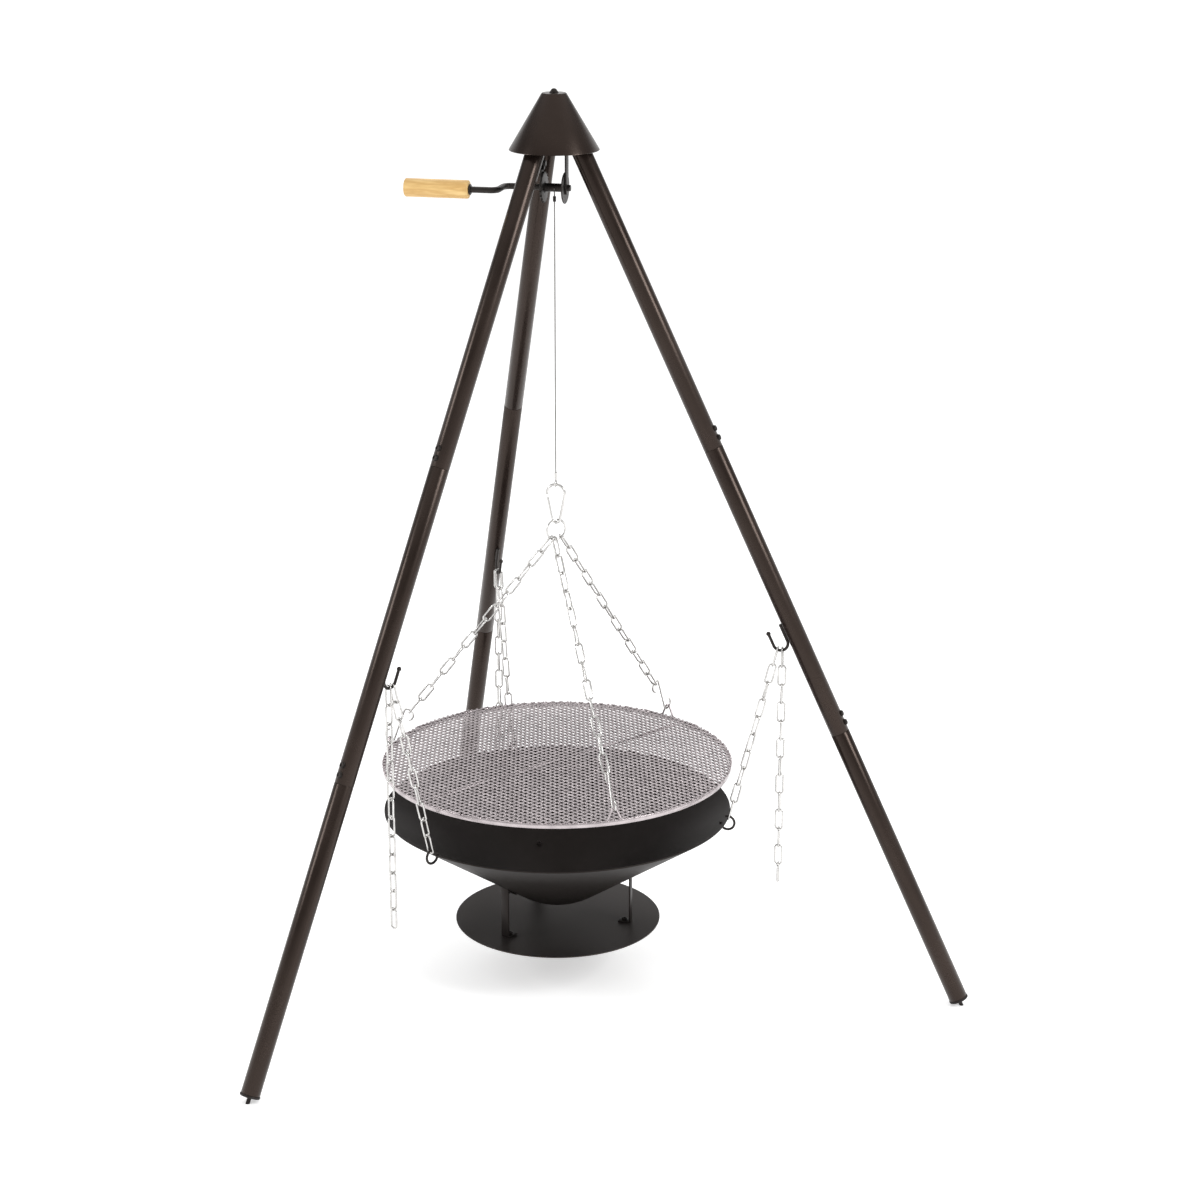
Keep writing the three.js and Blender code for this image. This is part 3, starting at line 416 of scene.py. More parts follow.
class Bench:
    """The modelling moves that the sub-assemblies share."""

    def __init__(self) -> None:
        """Start with no finishes made."""
        self.finishes: dict[str, bpy.types.Material] = {}

    @staticmethod
    def only(obj: bpy.types.Object) -> None:
        """Select and activate one object, and deselect the rest.

        Args:
            obj: the object.
        """
        bpy.ops.object.select_all(action="DESELECT")
        obj.select_set(True)
        bpy.context.view_layer.objects.active = obj

    @staticmethod
    def point() -> bpy.types.Object:
        """Start a mesh of one vertex at the origin, and stay in edit mode with it selected.

        Returns:
            The object.
        """
        bpy.ops.object.select_all(action="DESELECT")
        bpy.ops.mesh.primitive_plane_add(size=0.01)
        bpy.ops.object.mode_set(mode="EDIT")
        bpy.ops.mesh.select_mode(type="VERT")
        bpy.ops.mesh.select_all(action="SELECT")
        bpy.ops.mesh.merge(type="CENTER")
        return bpy.context.active_object

    def outline(self, points: Sequence[Vector]) -> bpy.types.Object:
        """Draw an open line of edges through points, and stay in edit mode.

        Args:
            points: the line's corners.

        Returns:
            The object.
        """
        obj = self.point()
        bpy.ops.transform.translate(value=points[0])
        for here, there in zip(points, points[1:]):
            bpy.ops.mesh.extrude_region_move(TRANSFORM_OT_translate={"value": there - here})
        return obj

    def spun(self, profile: Sequence[Point], steps: int = 64) -> bpy.types.Object:
        """Spin a profile about the Z axis.

        Args:
            profile: [radius, height] corners in millimetres.
            steps: facets round the axis.

        Returns:
            The object.
        """
        obj = self.outline([Vector((r, 0, z)) * MM for r, z in profile])
        bpy.ops.mesh.select_all(action="SELECT")
        bpy.ops.mesh.spin(steps=steps, angle=2 * math.pi, center=(0, 0, 0), axis=(0, 0, 1))
        bpy.ops.mesh.select_all(action="SELECT")
        bpy.ops.mesh.remove_doubles(threshold=1e-6)
        bpy.ops.mesh.normals_make_consistent(inside=False)
        bpy.ops.object.mode_set(mode="OBJECT")
        return obj

    def plate(self, corners: Sequence[Vector], push: Vector) -> bpy.types.Object:
        """Fill a loop of corners and extrude it into a plate.

        Args:
            corners: the loop, in metres.
            push: the extrusion.

        Returns:
            The object.
        """
        obj = self.outline(corners)
        bpy.ops.mesh.select_all(action="SELECT")
        bpy.ops.mesh.edge_face_add()
        bpy.ops.mesh.extrude_region_move(TRANSFORM_OT_translate={"value": push})
        bpy.ops.mesh.select_all(action="SELECT")
        bpy.ops.mesh.normals_make_consistent(inside=False)
        bpy.ops.object.mode_set(mode="OBJECT")
        return obj

    def wire(
        self, points: Sequence[Vector], diameter: float, closed: bool = False, facets: int = 4
    ) -> bpy.types.Object:
        """Bend a round wire through points.

        Args:
            points: its centre line, in metres.
            diameter: in millimetres.
            closed: whether its ends meet.
            facets: roundness of its section.

        Returns:
            The object, as a mesh.
        """
        bpy.ops.object.select_all(action="DESELECT")
        bpy.ops.curve.primitive_bezier_curve_add()
        obj = bpy.context.active_object
        obj.data.splines.clear()
        spline = obj.data.splines.new("POLY")
        spline.points.add(len(points) - 1)
        for corner, point in zip(spline.points, points):
            corner.co = (*point, 1)
        spline.use_cyclic_u = closed
        obj.data.bevel_depth = diameter * MM / 2
        obj.data.bevel_resolution = facets
        obj.data.use_fill_caps = not closed
        bpy.ops.object.convert(target="MESH")
        obj = bpy.context.active_object
        bpy.ops.object.mode_set(mode="EDIT")
        bpy.ops.mesh.select_all(action="SELECT")
        bpy.ops.mesh.remove_doubles(threshold=1e-7)
        bpy.ops.mesh.normals_make_consistent(inside=False)
        bpy.ops.object.mode_set(mode="OBJECT")
        return obj

    def bolt(self, kind: Fastener, at: Matrix) -> bpy.types.Object:
        """A fastener that stands on the XY plane of a frame.

        Args:
            kind: its size. A domed one has a driver's socket.
            at: the frame it stands in.

        Returns:
            The object.
        """
        bpy.ops.object.select_all(action="DESELECT")
        bpy.ops.mesh.primitive_cylinder_add(
            vertices=kind.sides,
            radius=kind.width * MM / 2,
            depth=kind.height * MM,
            location=(0, 0, kind.height * MM / 2),
        )
        obj = bpy.context.active_object
        bpy.ops.object.transform_apply()
        ease, segments = (0.42, 4) if kind.domed else (0.14, 2)
        self.bevel(obj, kind.height * ease, segments)
        if kind.domed:
            self.only(obj)
            bpy.ops.object.mode_set(mode="EDIT")
            top, socket = (kind.height - 0.01) * MM, -kind.height * MM * 0.45
            self.pick(obj, "FACE", lambda face: face.center.z > top)
            bpy.ops.mesh.inset(thickness=kind.width * MM * 0.1)
            bpy.ops.mesh.extrude_region_move(TRANSFORM_OT_translate={"value": (0, 0, socket)})
            bpy.ops.object.mode_set(mode="OBJECT")
        return self.place(obj, at)

    @staticmethod
    def pick(obj: bpy.types.Object, kind: str, test: Callable[[object], bool]) -> None:
        """In edit mode, select only the faces or vertices that pass a test.

        Args:
            obj: the object that is being edited.
            kind: FACE or VERT.
            test: tells whether one face or vertex passes.
        """
        bpy.ops.mesh.select_mode(type=kind)
        bpy.ops.mesh.select_all(action="DESELECT")
        bpy.ops.object.mode_set(mode="OBJECT")
        for item in obj.data.polygons if kind == "FACE" else obj.data.vertices:
            item.select = test(item)
        bpy.ops.object.mode_set(mode="EDIT")

    def bevel(self, obj: bpy.types.Object, width: float, segments: int = 2) -> None:
        """Round the sharp edges.

        Args:
            obj: the object.
            width: in millimetres.
            segments: facets across a rounded edge.
        """
        self.only(obj)
        edge = obj.modifiers.new("round", "BEVEL")
        edge.width = width * MM
        edge.segments = segments
        edge.limit_method = "ANGLE"
        edge.angle_limit = SHARP
        edge.use_clamp_overlap = True
        bpy.ops.object.modifier_apply(modifier=edge.name)

    def cut(self, obj: bpy.types.Object, drill: bpy.types.Object) -> None:
        """Cut a drill's shape from an object, and remove the drill.

        Args:
            obj: the object.
            drill: the closed shape to take away.
        """
        self.only(obj)
        step = obj.modifiers.new("cut", "BOOLEAN")
        step.operation = "DIFFERENCE"
        step.object = drill
        step.solver = "EXACT"
        bpy.ops.object.modifier_apply(modifier=step.name)
        bpy.data.objects.remove(drill)

    def level(self, obj: bpy.types.Object) -> None:
        """Cut a piece off flat where it meets the ground.

        Args:
            obj: the piece.
        """
        self.only(obj)
        bpy.ops.object.mode_set(mode="EDIT")
        bpy.ops.mesh.select_all(action="SELECT")
        bpy.ops.mesh.bisect(plane_co=(0, 0, 0), plane_no=(0, 0, 1), use_fill=True, clear_inner=True)
        bpy.ops.object.mode_set(mode="OBJECT")

    def place(self, obj: bpy.types.Object, matrix: Matrix) -> bpy.types.Object:
        """Move an object's mesh by a matrix, and leave the object at the origin.

        Args:
            obj: the object.
            matrix: the move, in metres.

        Returns:
            The object.
        """
        self.only(obj)
        obj.matrix_world = matrix @ obj.matrix_world
        bpy.ops.object.transform_apply(location=True, rotation=True, scale=True)
        return obj

    def join(self, pieces: Sequence[bpy.types.Object]) -> bpy.types.Object:
        """Join objects into one mesh.

        Args:
            pieces: the objects.

        Returns:
            The first of them, which holds them all.
        """
        self.only(pieces[0])
        for piece in pieces:
            piece.select_set(True)
        if len(pieces) > 1:
            bpy.ops.object.join()
        return bpy.context.active_object

    @staticmethod
    def copy(obj: bpy.types.Object) -> bpy.types.Object:
        """Copy an object, with a mesh of its own.

        Args:
            obj: the object.

        Returns:
            The copy.
        """
        twin = obj.copy()
        twin.data = obj.data.copy()
        bpy.context.scene.collection.objects.link(twin)
        return twin

    def finish(
        self,
        obj: bpy.types.Object,
        name: str,
        style: Finish,
        body: str | None,
        *nodes: str,
        angle: float = 35,
    ) -> bpy.types.Object:
        """Name, shade and dress a piece, and put it on its body.

        Args:
            obj: the finished shape.
            name: its name.
            style: its finish.
            body: the body that it rides on, or None where the caller places it.
            nodes: the CAD nodes that it stands for.
            angle: edges sharper than this stay crisp, in degrees.

        Returns:
            The object.
        """
        self.only(obj)
        bpy.ops.object.shade_smooth_by_angle(angle=math.radians(angle))
        obj.name = name
        if style.name not in self.finishes:
            self.finishes[style.name] = style.make()
        obj.data.materials.clear()
        obj.data.materials.append(self.finishes[style.name])
        if nodes:
            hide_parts(*nodes)
        if body:
            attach(obj, body)
        LOG.info("%s: %d faces", name, len(obj.data.polygons))
        return obj


# ------------------------------------------------------------------ shared places

AXIS = sum(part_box("cap"), Vector()) / 2
AXIS.z = 0


def polar(azimuth: float, radius: float, z: float) -> Vector:
    """A point about the tripod's axis.

    Args:
        azimuth: in degrees from +X.
        radius: in millimetres.
        z: in millimetres.

    Returns:
        The point, in metres.
    """
    a = math.radians(azimuth)
    return AXIS + Vector((radius * math.cos(a), radius * math.sin(a), z)) * MM


def toward(azimuth: float, radial: float = 1, up: float = 0) -> Vector:
    """A direction in the upright plane of an azimuth, from its radial and upward parts."""
    a = math.radians(azimuth)
    return Vector((radial * math.cos(a), radial * math.sin(a), up))


def arc(
    centre: Vector, u: Vector, v: Vector, radius: float, start: float, end: float, count: int
) -> list[Vector]:
    """Points of an arc.

    Args:
        centre: in metres.
        u: the direction at 0 degrees.
        v: the direction at 90 degrees.
        radius: in millimetres.
        start: first angle, in degrees.
        end: last angle.
        count: number of points.

    Returns:
        The points.
    """
    angles = [math.radians(start + (end - start) * i / (count - 1)) for i in range(count)]
    return [centre + radius * MM * (u * math.cos(a) + v * math.sin(a)) for a in angles]


def basis(x: Vector, y: Vector, z: Vector, at: Vector) -> Matrix:
    """A frame from its three axes and its origin."""
    return Matrix.Translation(at) @ Matrix((x, y, z)).transposed().to_4x4()


def standing(axis: Vector, at: Vector) -> Matrix:
    """A frame whose Z lies along an axis."""
    return Matrix.Translation(at) @ axis.to_track_quat("Z", "Y").to_matrix().to_4x4()


# ------------------------------------------------------------------ legs


@dataclass
class Leg:
    """One three-section leg with its hook and its foot."""

    bench: Bench
    side: Side
    splay: float = 24.9
    foot_radius: float = 826
    tube_r: float = 18.5
    bore_r: float = 17
    seams: tuple[float, float] = (612, 1224)
    top: float = 1863
    start: float = 17.3
    gap: float = 0.3
    bolt_offsets: tuple[float, float] = (16, 35)
    hook_wire: float = 6
    hook_bend_r: float = 14.5
    hook_along: float = 820

    @property
    def frame(self) -> Matrix:
        """The leg's frame: Z runs up the leg and X is its outer side.

        Returns:
            The frame, in metres.
        """
        turn = Matrix.Rotation(math.radians(self.side.value), 4, "Z")
        lean = Matrix.Rotation(-math.radians(self.splay), 4, "Y")
        return Matrix.Translation(AXIS) @ turn @ Matrix.Translation((self.foot_radius * MM, 0, 0)) @ lean

    @property
    def hook_x(self) -> float:
        """The hook bend's centre, outward from the leg's axis, in millimetres."""
        return -(self.tube_r + self.hook_wire / 2 + self.gap) - self.hook_bend_r

    def hook_point(self, angle: float) -> Vector:
        """A point on the centre line of the hook's bend.

        Args:
            angle: degrees from its lowest point towards the free side.

        Returns:
            The point, in metres.
        """
        a = math.radians(self.splay + angle)
        x = self.hook_x - self.hook_bend_r * math.sin(a)
        along = self.hook_along - self.hook_bend_r * math.cos(a)
        return self.frame @ (Vector((x, 0, along)) * MM)

    def tube(self, low: float, high: float, part: str) -> None:
        """One section with rolled ends.

        Args:
            low: its lower end along the leg.
            high: its upper end.
            part: its name within the leg.
        """
        r, bore, edge = self.tube_r, self.bore_r, 0.6
        ease = edge * 0.3
        profile = [(bore, low), (r - edge, low), (r - ease, low + ease), (r, low + edge)]
        profile += [(r, high - edge), (r - ease, high - ease), (r - edge, high), (bore, high), (bore, low)]
        obj = self.bench.place(self.bench.spun(profile, 72), self.frame)
        name = f"leg_{self.side.name}_{part}"
        self.bench.finish(obj, f"{name}_tube", LEG_COAT, "stand", name)

    def bolts(self, seam: float, part: str) -> None:
        """The two bolts on the outer side above a seam, each with its washer.

        Args:
            seam: the seam's place along the leg.
            part: the pair's name within the leg.
        """
        heads = []
        for offset in self.bolt_offsets:
            for kind, sunk in ((BUTTON_HEAD, 0), (WASHER, 0.3)):
                at = standing(Vector((1, 0, 0)), Vector((self.tube_r - sunk, 0, seam + offset)) * MM)
                heads.append(self.bench.bolt(kind, self.frame @ at))
        name = f"leg_{self.side.name}_{part}_bolts"
        self.bench.finish(self.bench.join(heads), f"{name}_heads", BLACK_STEEL, "stand", name)

    def foot(self) -> None:
        """The moulded plug with its lip and ground pin."""
        pin_r, lip_r, lip_low, lip_high, plug_r, top = 4, 19.5, 12, 17, 16.6, 40
        profile = [(0, -4), (pin_r, -4), (pin_r, lip_low), (16, lip_low), (18.9, 12.6), (lip_r, 14)]
        profile += [(lip_r, 16), (18.9, lip_high), (plug_r, lip_high), (plug_r, top), (0, top)]
        obj = self.bench.place(self.bench.spun(profile, 48), self.frame)
        self.bench.level(obj)
        self.bench.finish(obj, f"foot_{self.side.name}_plug", FOOT_PLASTIC, "stand", f"foot_{self.side.name}")

    def hook(self) -> None:
        """The bent bar with its welded arm, weld fillets and ball tip."""
        arm_rise, tip_rise, ball_r, weld_d, weld_shift = 36, 26, 4.5, 7.4, 1.6
        centre = Vector((self.hook_x, 0, self.hook_along)) * MM
        arm = centre + Vector((self.hook_bend_r, 0, arm_rise)) * MM
        tip = centre + Vector((-self.hook_bend_r, 0, tip_rise)) * MM
        path = [arm, *arc(centre, Vector((1, 0, 0)), Z, self.hook_bend_r, 0, -180, 22), tip]
        bar = self.bench.wire(path, self.hook_wire, facets=5)
        bpy.ops.object.select_all(action="DESELECT")
        bpy.ops.mesh.primitive_uv_sphere_add(
            segments=20, ring_count=12, radius=ball_r * MM, location=tip
        )
        ball = bpy.context.active_object
        bpy.ops.object.transform_apply()
        weld = self.bench.wire([arm - low * MM * Z for low in (2, 16, 30)], weld_d)
        weld = self.bench.place(weld, Matrix.Translation((weld_shift * MM, 0, 0)))
        obj = self.bench.place(self.bench.join([bar, ball, weld]), self.frame)
        name = f"leg_hook_{self.side.name}"
        self.bench.finish(obj, f"{name}_bar", BLACK_STEEL, "stand", name)

    def build(self) -> None:
        """Make the whole leg."""
        self.tube(self.start, self.seams[0], "lower")
        self.tube(self.seams[0] + self.gap, self.seams[1], "middle")
        self.tube(self.seams[1] + self.gap, self.top, "upper")
        self.bolts(self.seams[0], "lower")
        self.bolts(self.seams[1], "upper")
        self.foot()
        self.hook()


# ------------------------------------------------------------------ chains


@dataclass
class ChainMaker:
    """Welded oval-link chain."""

    bench: Bench
    pitch: float = 37.5
    wire: float = 4
    width: float = 18
    bite: float = 0.3
    seat_gap: float = 1.2
    turns: int = 20
    facets: int = 8
    twist: float = 0.12

    def seat(self, radius: float) -> float:
        """From an end link's centre to the round bar that bears in it, in millimetres."""
        return (self.pitch + 2 * self.wire - self.bite) / 2 - self.wire - radius - self.seat_gap

    def link(self, pitch: float) -> bpy.types.Object:
        """One link along X with its width along Y: a torus with its two halves pulled apart.

        Args:
            pitch: the distance from one link to the next, in millimetres.

        Returns:
            The link.
        """
        bend = (self.width - self.wire) / 2
        bpy.ops.object.select_all(action="DESELECT")
        bpy.ops.mesh.primitive_torus_add(
            major_segments=self.turns,
            minor_segments=self.facets,
            major_radius=bend * MM,
            minor_radius=self.wire * MM / 2,
            rotation=(0, 0, math.pi / self.turns),
        )
        obj = bpy.context.active_object
        bpy.ops.object.transform_apply()
        stretch = (pitch + self.wire) / 2 - bend
        for sign in (1, -1):
            bpy.ops.object.mode_set(mode="EDIT")
            self.bench.pick(obj, "VERT", lambda vertex: vertex.co.x * sign > 0)
            bpy.ops.transform.translate(value=(sign * stretch * MM, 0, 0))
            bpy.ops.object.mode_set(mode="OBJECT")
        return obj

    def run(
        self,
        name: str,
        body: str,
        first: Vector,
        last: Vector,
        count: int,
        first_side: Vector,
        last_side: Vector,
    ) -> None:
        """A straight run of links.

        Args:
            name: the CAD node that the run stands for.
            body: the body that it rides on.
            first: the first link's centre.
            last: the last link's centre.
            count: number of links.
            first_side: direction of the first link's width.
            last_side: direction of the last link's width.
        """
        along = last - first
        pitch = along.length / (count - 1)
        along.normalize()
        side = (first_side - along * first_side.dot(along)).normalized()
        normal = along.cross(side)
        target = (last_side - along * last_side.dot(along)).normalized()
        wanted = math.atan2(target.dot(normal), target.dot(side))
        total = wanted + math.pi * round(((count - 1) * math.pi / 2 - wanted) / math.pi)
        chance = random.Random(name)
        pattern = self.link(pitch / MM)
        links = []
        for i in range(count):
            inner = 0 < i < count - 1
            turn = total * i / (count - 1)
            turn += chance.uniform(-self.twist, self.twist) if inner else 0
            y = side * math.cos(turn) + normal * math.sin(turn)
            at = basis(along, y, along.cross(y), first + along * pitch * i)
            links.append(self.bench.place(self.bench.copy(pattern), at))
        bpy.data.objects.remove(pattern)
        self.bench.finish(self.bench.join(links), f"{name}_links", ZINC, body, name, angle=60)


# ------------------------------------------------------------------ head and winch


@dataclass
class Head:
    """The conical cap with its nut, and the winch below it."""

    bench: Bench
    azimuth: float = 166
    axle_y: float = -9.55
    bore_r: float = 6.3
    ratchet_x: float = 20.7
    ratchet_wide: float = 4
    pawl_rise: float = 45
    bar_d: float = 12
    throw: float = 60
    reach: float = 99
    bend_r: float = 14
    grip_start: float = 152.5
    grip_length: float = 125

    @property
    def frame(self) -> Matrix:
        """The winch's frame: X runs along the axle towards the crank, from the cable's line."""
        turn = Matrix.Rotation(math.radians(self.azimuth), 4, "Z")
        return Matrix.Translation(AXIS + Vector((0, 0, AXLE_Z * MM))) @ turn

    def along_axle(self, y: float, z: float = 0) -> Matrix:
        """A frame whose Z runs along a line parallel to the axle, y and z away from the cable's."""
        return self.frame @ (Matrix.Translation((0, y * MM, z * MM)) @ Matrix.Rotation(math.pi / 2, 4, "Y"))

    def turned(self, profile: Sequence[Point], y: float, steps: int = 64) -> bpy.types.Object:
        """Spin a profile about a line parallel to the axle.

        Args:
            profile: [radius, place along the axle] corners.
            y: how far the line is from the cable's, in millimetres.
            steps: facets round it.

        Returns:
            The object.
        """
        return self.bench.place(self.bench.spun(profile, steps), self.along_axle(y))

    def cap(self) -> None:
        """The sheet cone with a rolled lower edge, its washer and its domed nut."""
        shell = [(4.3, 1775), (4.3, 1773), (21.9, 1773), (83.3, 1669.6), (83.6, 1669), (85.0, 1669)]
        shell += [(85.5, 1669.5), (85.2, 1670.6), (23.6, 1774.0), (22.6, 1774.9), (4.3, 1775)]
        obj = self.bench.place(self.bench.spun(shell, 128), Matrix.Translation(AXIS))
        self.bench.finish(obj, "cap_cone", LEG_COAT, "stand", "cap", angle=24)
        nut = [(0, 1783.2), (2.5, 1782.9), (5.2, 1781), (6.4, 1778.6), (7.4, 1778.4), (7.4, 1776.4)]
        nut += [(8.6, 1776.3), (8.6, 1775.3), (0, 1775.3)]
        obj = self.bench.place(self.bench.spun(nut, 40), Matrix.Translation(AXIS))
        self.bench.finish(obj, "cap_nut_dome", BLACK_STEEL, "stand", "cap_nut")

    def yoke(self) -> None:
        """The bent strap that carries the axle, with rounded lower ends."""
        low, high, wide, sheet, web_deep = -13, 84.5, 10, 3, 34
        left, right = -23, 25
        near, far = self.axle_y - wide, self.axle_y + wide
        turns = [math.radians(degrees) for degrees in range(15, 180, 15)]
        pieces = []
        for x in (left, right):
            corners = [Vector((x, near, high)), Vector((x, near, 0))]
            corners += [Vector((x, self.axle_y - wide * math.cos(a), low * math.sin(a))) for a in turns]
            corners += [Vector((x, far, 0)), Vector((x, far, high))]
            pieces.append(self.bench.plate([c * MM for c in corners], Vector((sheet * MM, 0, 0))))
        web = [(left, near), (right + sheet, near), (right + sheet, near + web_deep), (left, near + web_deep)]
        corners = [Vector((x, y, high - sheet)) * MM for x, y in web]
        pieces.append(self.bench.plate(corners, Vector((0, 0, sheet * MM))))
        obj = self.bench.join(pieces)
        self.bench.bevel(obj, 0.5)
        self.bench.place(obj, self.frame)
        self.bench.finish(obj, "winch_yoke_strap", BLACK_STEEL, "stand", "winch_yoke")

    def drum(self) -> None:
        """The drum with its rounded flange."""
        bore, barrel, rim, left, right = self.bore_r, 8, 30, -19.7, 20.4
        profile = [(bore, left), (rim - 0.8, left), (rim, -19), (rim, -18), (rim - 0.8, -17.2)]
        profile += [(barrel, -17.2), (barrel, right), (bore, right), (bore, left)]
        obj = self.turned(profile, self.axle_y)
        self.bench.finish(obj, "cable_drum_turned", BLACK_STEEL, "winder", "cable_drum")

    def ratchet(self) -> None:
        """The toothed wheel with a raised hub, cut as leaning saw teeth."""
        teeth, tip, root, lean = 18, 30, 26, 0.12
        bore, hub_r, face, end = self.bore_r, 11, self.ratchet_x, 24.6
        corners = []
        for i in range(teeth):
            for radius, turn in ((tip, i), (root, i + lean)):
                a = 2 * math.pi * turn / teeth
                corners.append(Vector((radius * math.cos(a), radius * math.sin(a), face)) * MM)
        obj = self.bench.plate(corners, Vector((0, 0, self.ratchet_wide * MM)))
        self.bench.bevel(obj, 0.3)
        hub = [(bore, face), (hub_r, face), (hub_r, end - 0.4), (hub_r - 0.6, end), (bore, end), (bore, face)]
        obj = self.bench.join([obj, self.bench.spun(hub, 40)])
        self.bench.place(obj, self.along_axle(self.axle_y))
        self.bench.finish(obj, "ratchet_wheel_toothed", BLACK_STEEL, "winder", "ratchet_wheel")

    def pawl(self) -> None:
        """The pawl on its pin."""
        outline = [(-5.5, 3), (-3, 5.5), (3, 5.5), (5.5, 3), (5, -5)]
        outline += [(9, -10.6), (7, -12.6), (-1, -9.6), (-5, -4)]
        corners = [Vector((self.ratchet_x, self.axle_y + y, self.pawl_rise + z)) * MM for y, z in outline]
        obj = self.bench.plate(corners, Vector((self.ratchet_wide * MM, 0, 0)))
        self.bench.bevel(obj, 0.6)
        self.bench.finish(self.bench.place(obj, self.frame), "pawl_plate", BLACK_STEEL, "pawl", "pawl")
        head, shank = 5, 2.5
        pin = [(0, 18.4), (head, 18.4), (head, 20.4), (shank, 20.4), (shank, 28.3), (head, 28.3)]
        obj = self.bench.spun(pin + [(4.2, 30.4), (0, 30.8)], 32)
        self.bench.place(obj, self.along_axle(self.axle_y, self.pawl_rise))
        self.bench.finish(obj, "pawl_pin_turned", BLACK_STEEL, "stand", "pawl_pin")

    def crank(self) -> None:
        """The bent bar, with a washer where the arm meets the grip."""
        x, y, r, steps = Vector((1, 0, 0)), Vector((0, 1, 0)), self.bend_r, 14
        near, far = self.axle_y, self.axle_y + self.throw
        left_end, right_end = -29, self.grip_start + self.grip_length - 14
        path = [Vector((left_end, near, 0)) * MM]
        path += arc(Vector((self.reach - r, near + r, 0)) * MM, x, y, r, -90, 0, steps)
        path += arc(Vector((self.reach + r, far - r, 0)) * MM, x, y, r, 180, 90, steps)
        path += [Vector((right_end, far, 0)) * MM]
        obj = self.bench.wire(path, self.bar_d, facets=8)
        self.bench.finish(self.bench.place(obj, self.frame), "crank_bar", BLACK_STEEL, "winder", "crank")
        inner, outer, back, front = self.bar_d / 2, 10, self.grip_start - 3.4, self.grip_start - 0.4
        collar = [(inner, back), (outer - 0.4, back), (outer, back + 0.4), (outer, front - 0.4)]
        collar += [(outer - 0.4, front), (inner, front), (inner, back)]
        obj = self.turned(collar, far, 40)
        self.bench.finish(obj, "grip_washer", BLACK_STEEL, "winder")

    def grip(self) -> None:
        """The turned wooden grip, eased at its edges, with a blind hole for the spindle."""
        bore, start, end = self.bore_r, self.grip_start, self.grip_start + self.grip_length
        hole_end = end - 13.7
        ease = [(14.6, 0), (16.2, 0.6), (17.2, 1.8), (17.5, 3.4)]
        profile = [(bore, start), *((r, start + back) for r, back in ease)]
        profile += [*((r, end - back) for r, back in reversed(ease)), (0, end)]
        profile += [(0, hole_end), (bore, hole_end), (bore, start)]
        obj = self.turned(profile, self.axle_y + self.throw, 72)
        self.bench.finish(obj, "grip_turned", PINE, "grip", "grip")

    def build(self) -> None:
        """Make the cap and the winch."""
        for step in (self.cap, self.yoke, self.drum, self.ratchet, self.pawl, self.crank, self.grip):
            step()
        for node in ("head_hub", "yoke_nut"):
            self.bench.finish(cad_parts[node], node, BLACK_STEEL, None, angle=20)


# ------------------------------------------------------------------ grate and its hanging gear


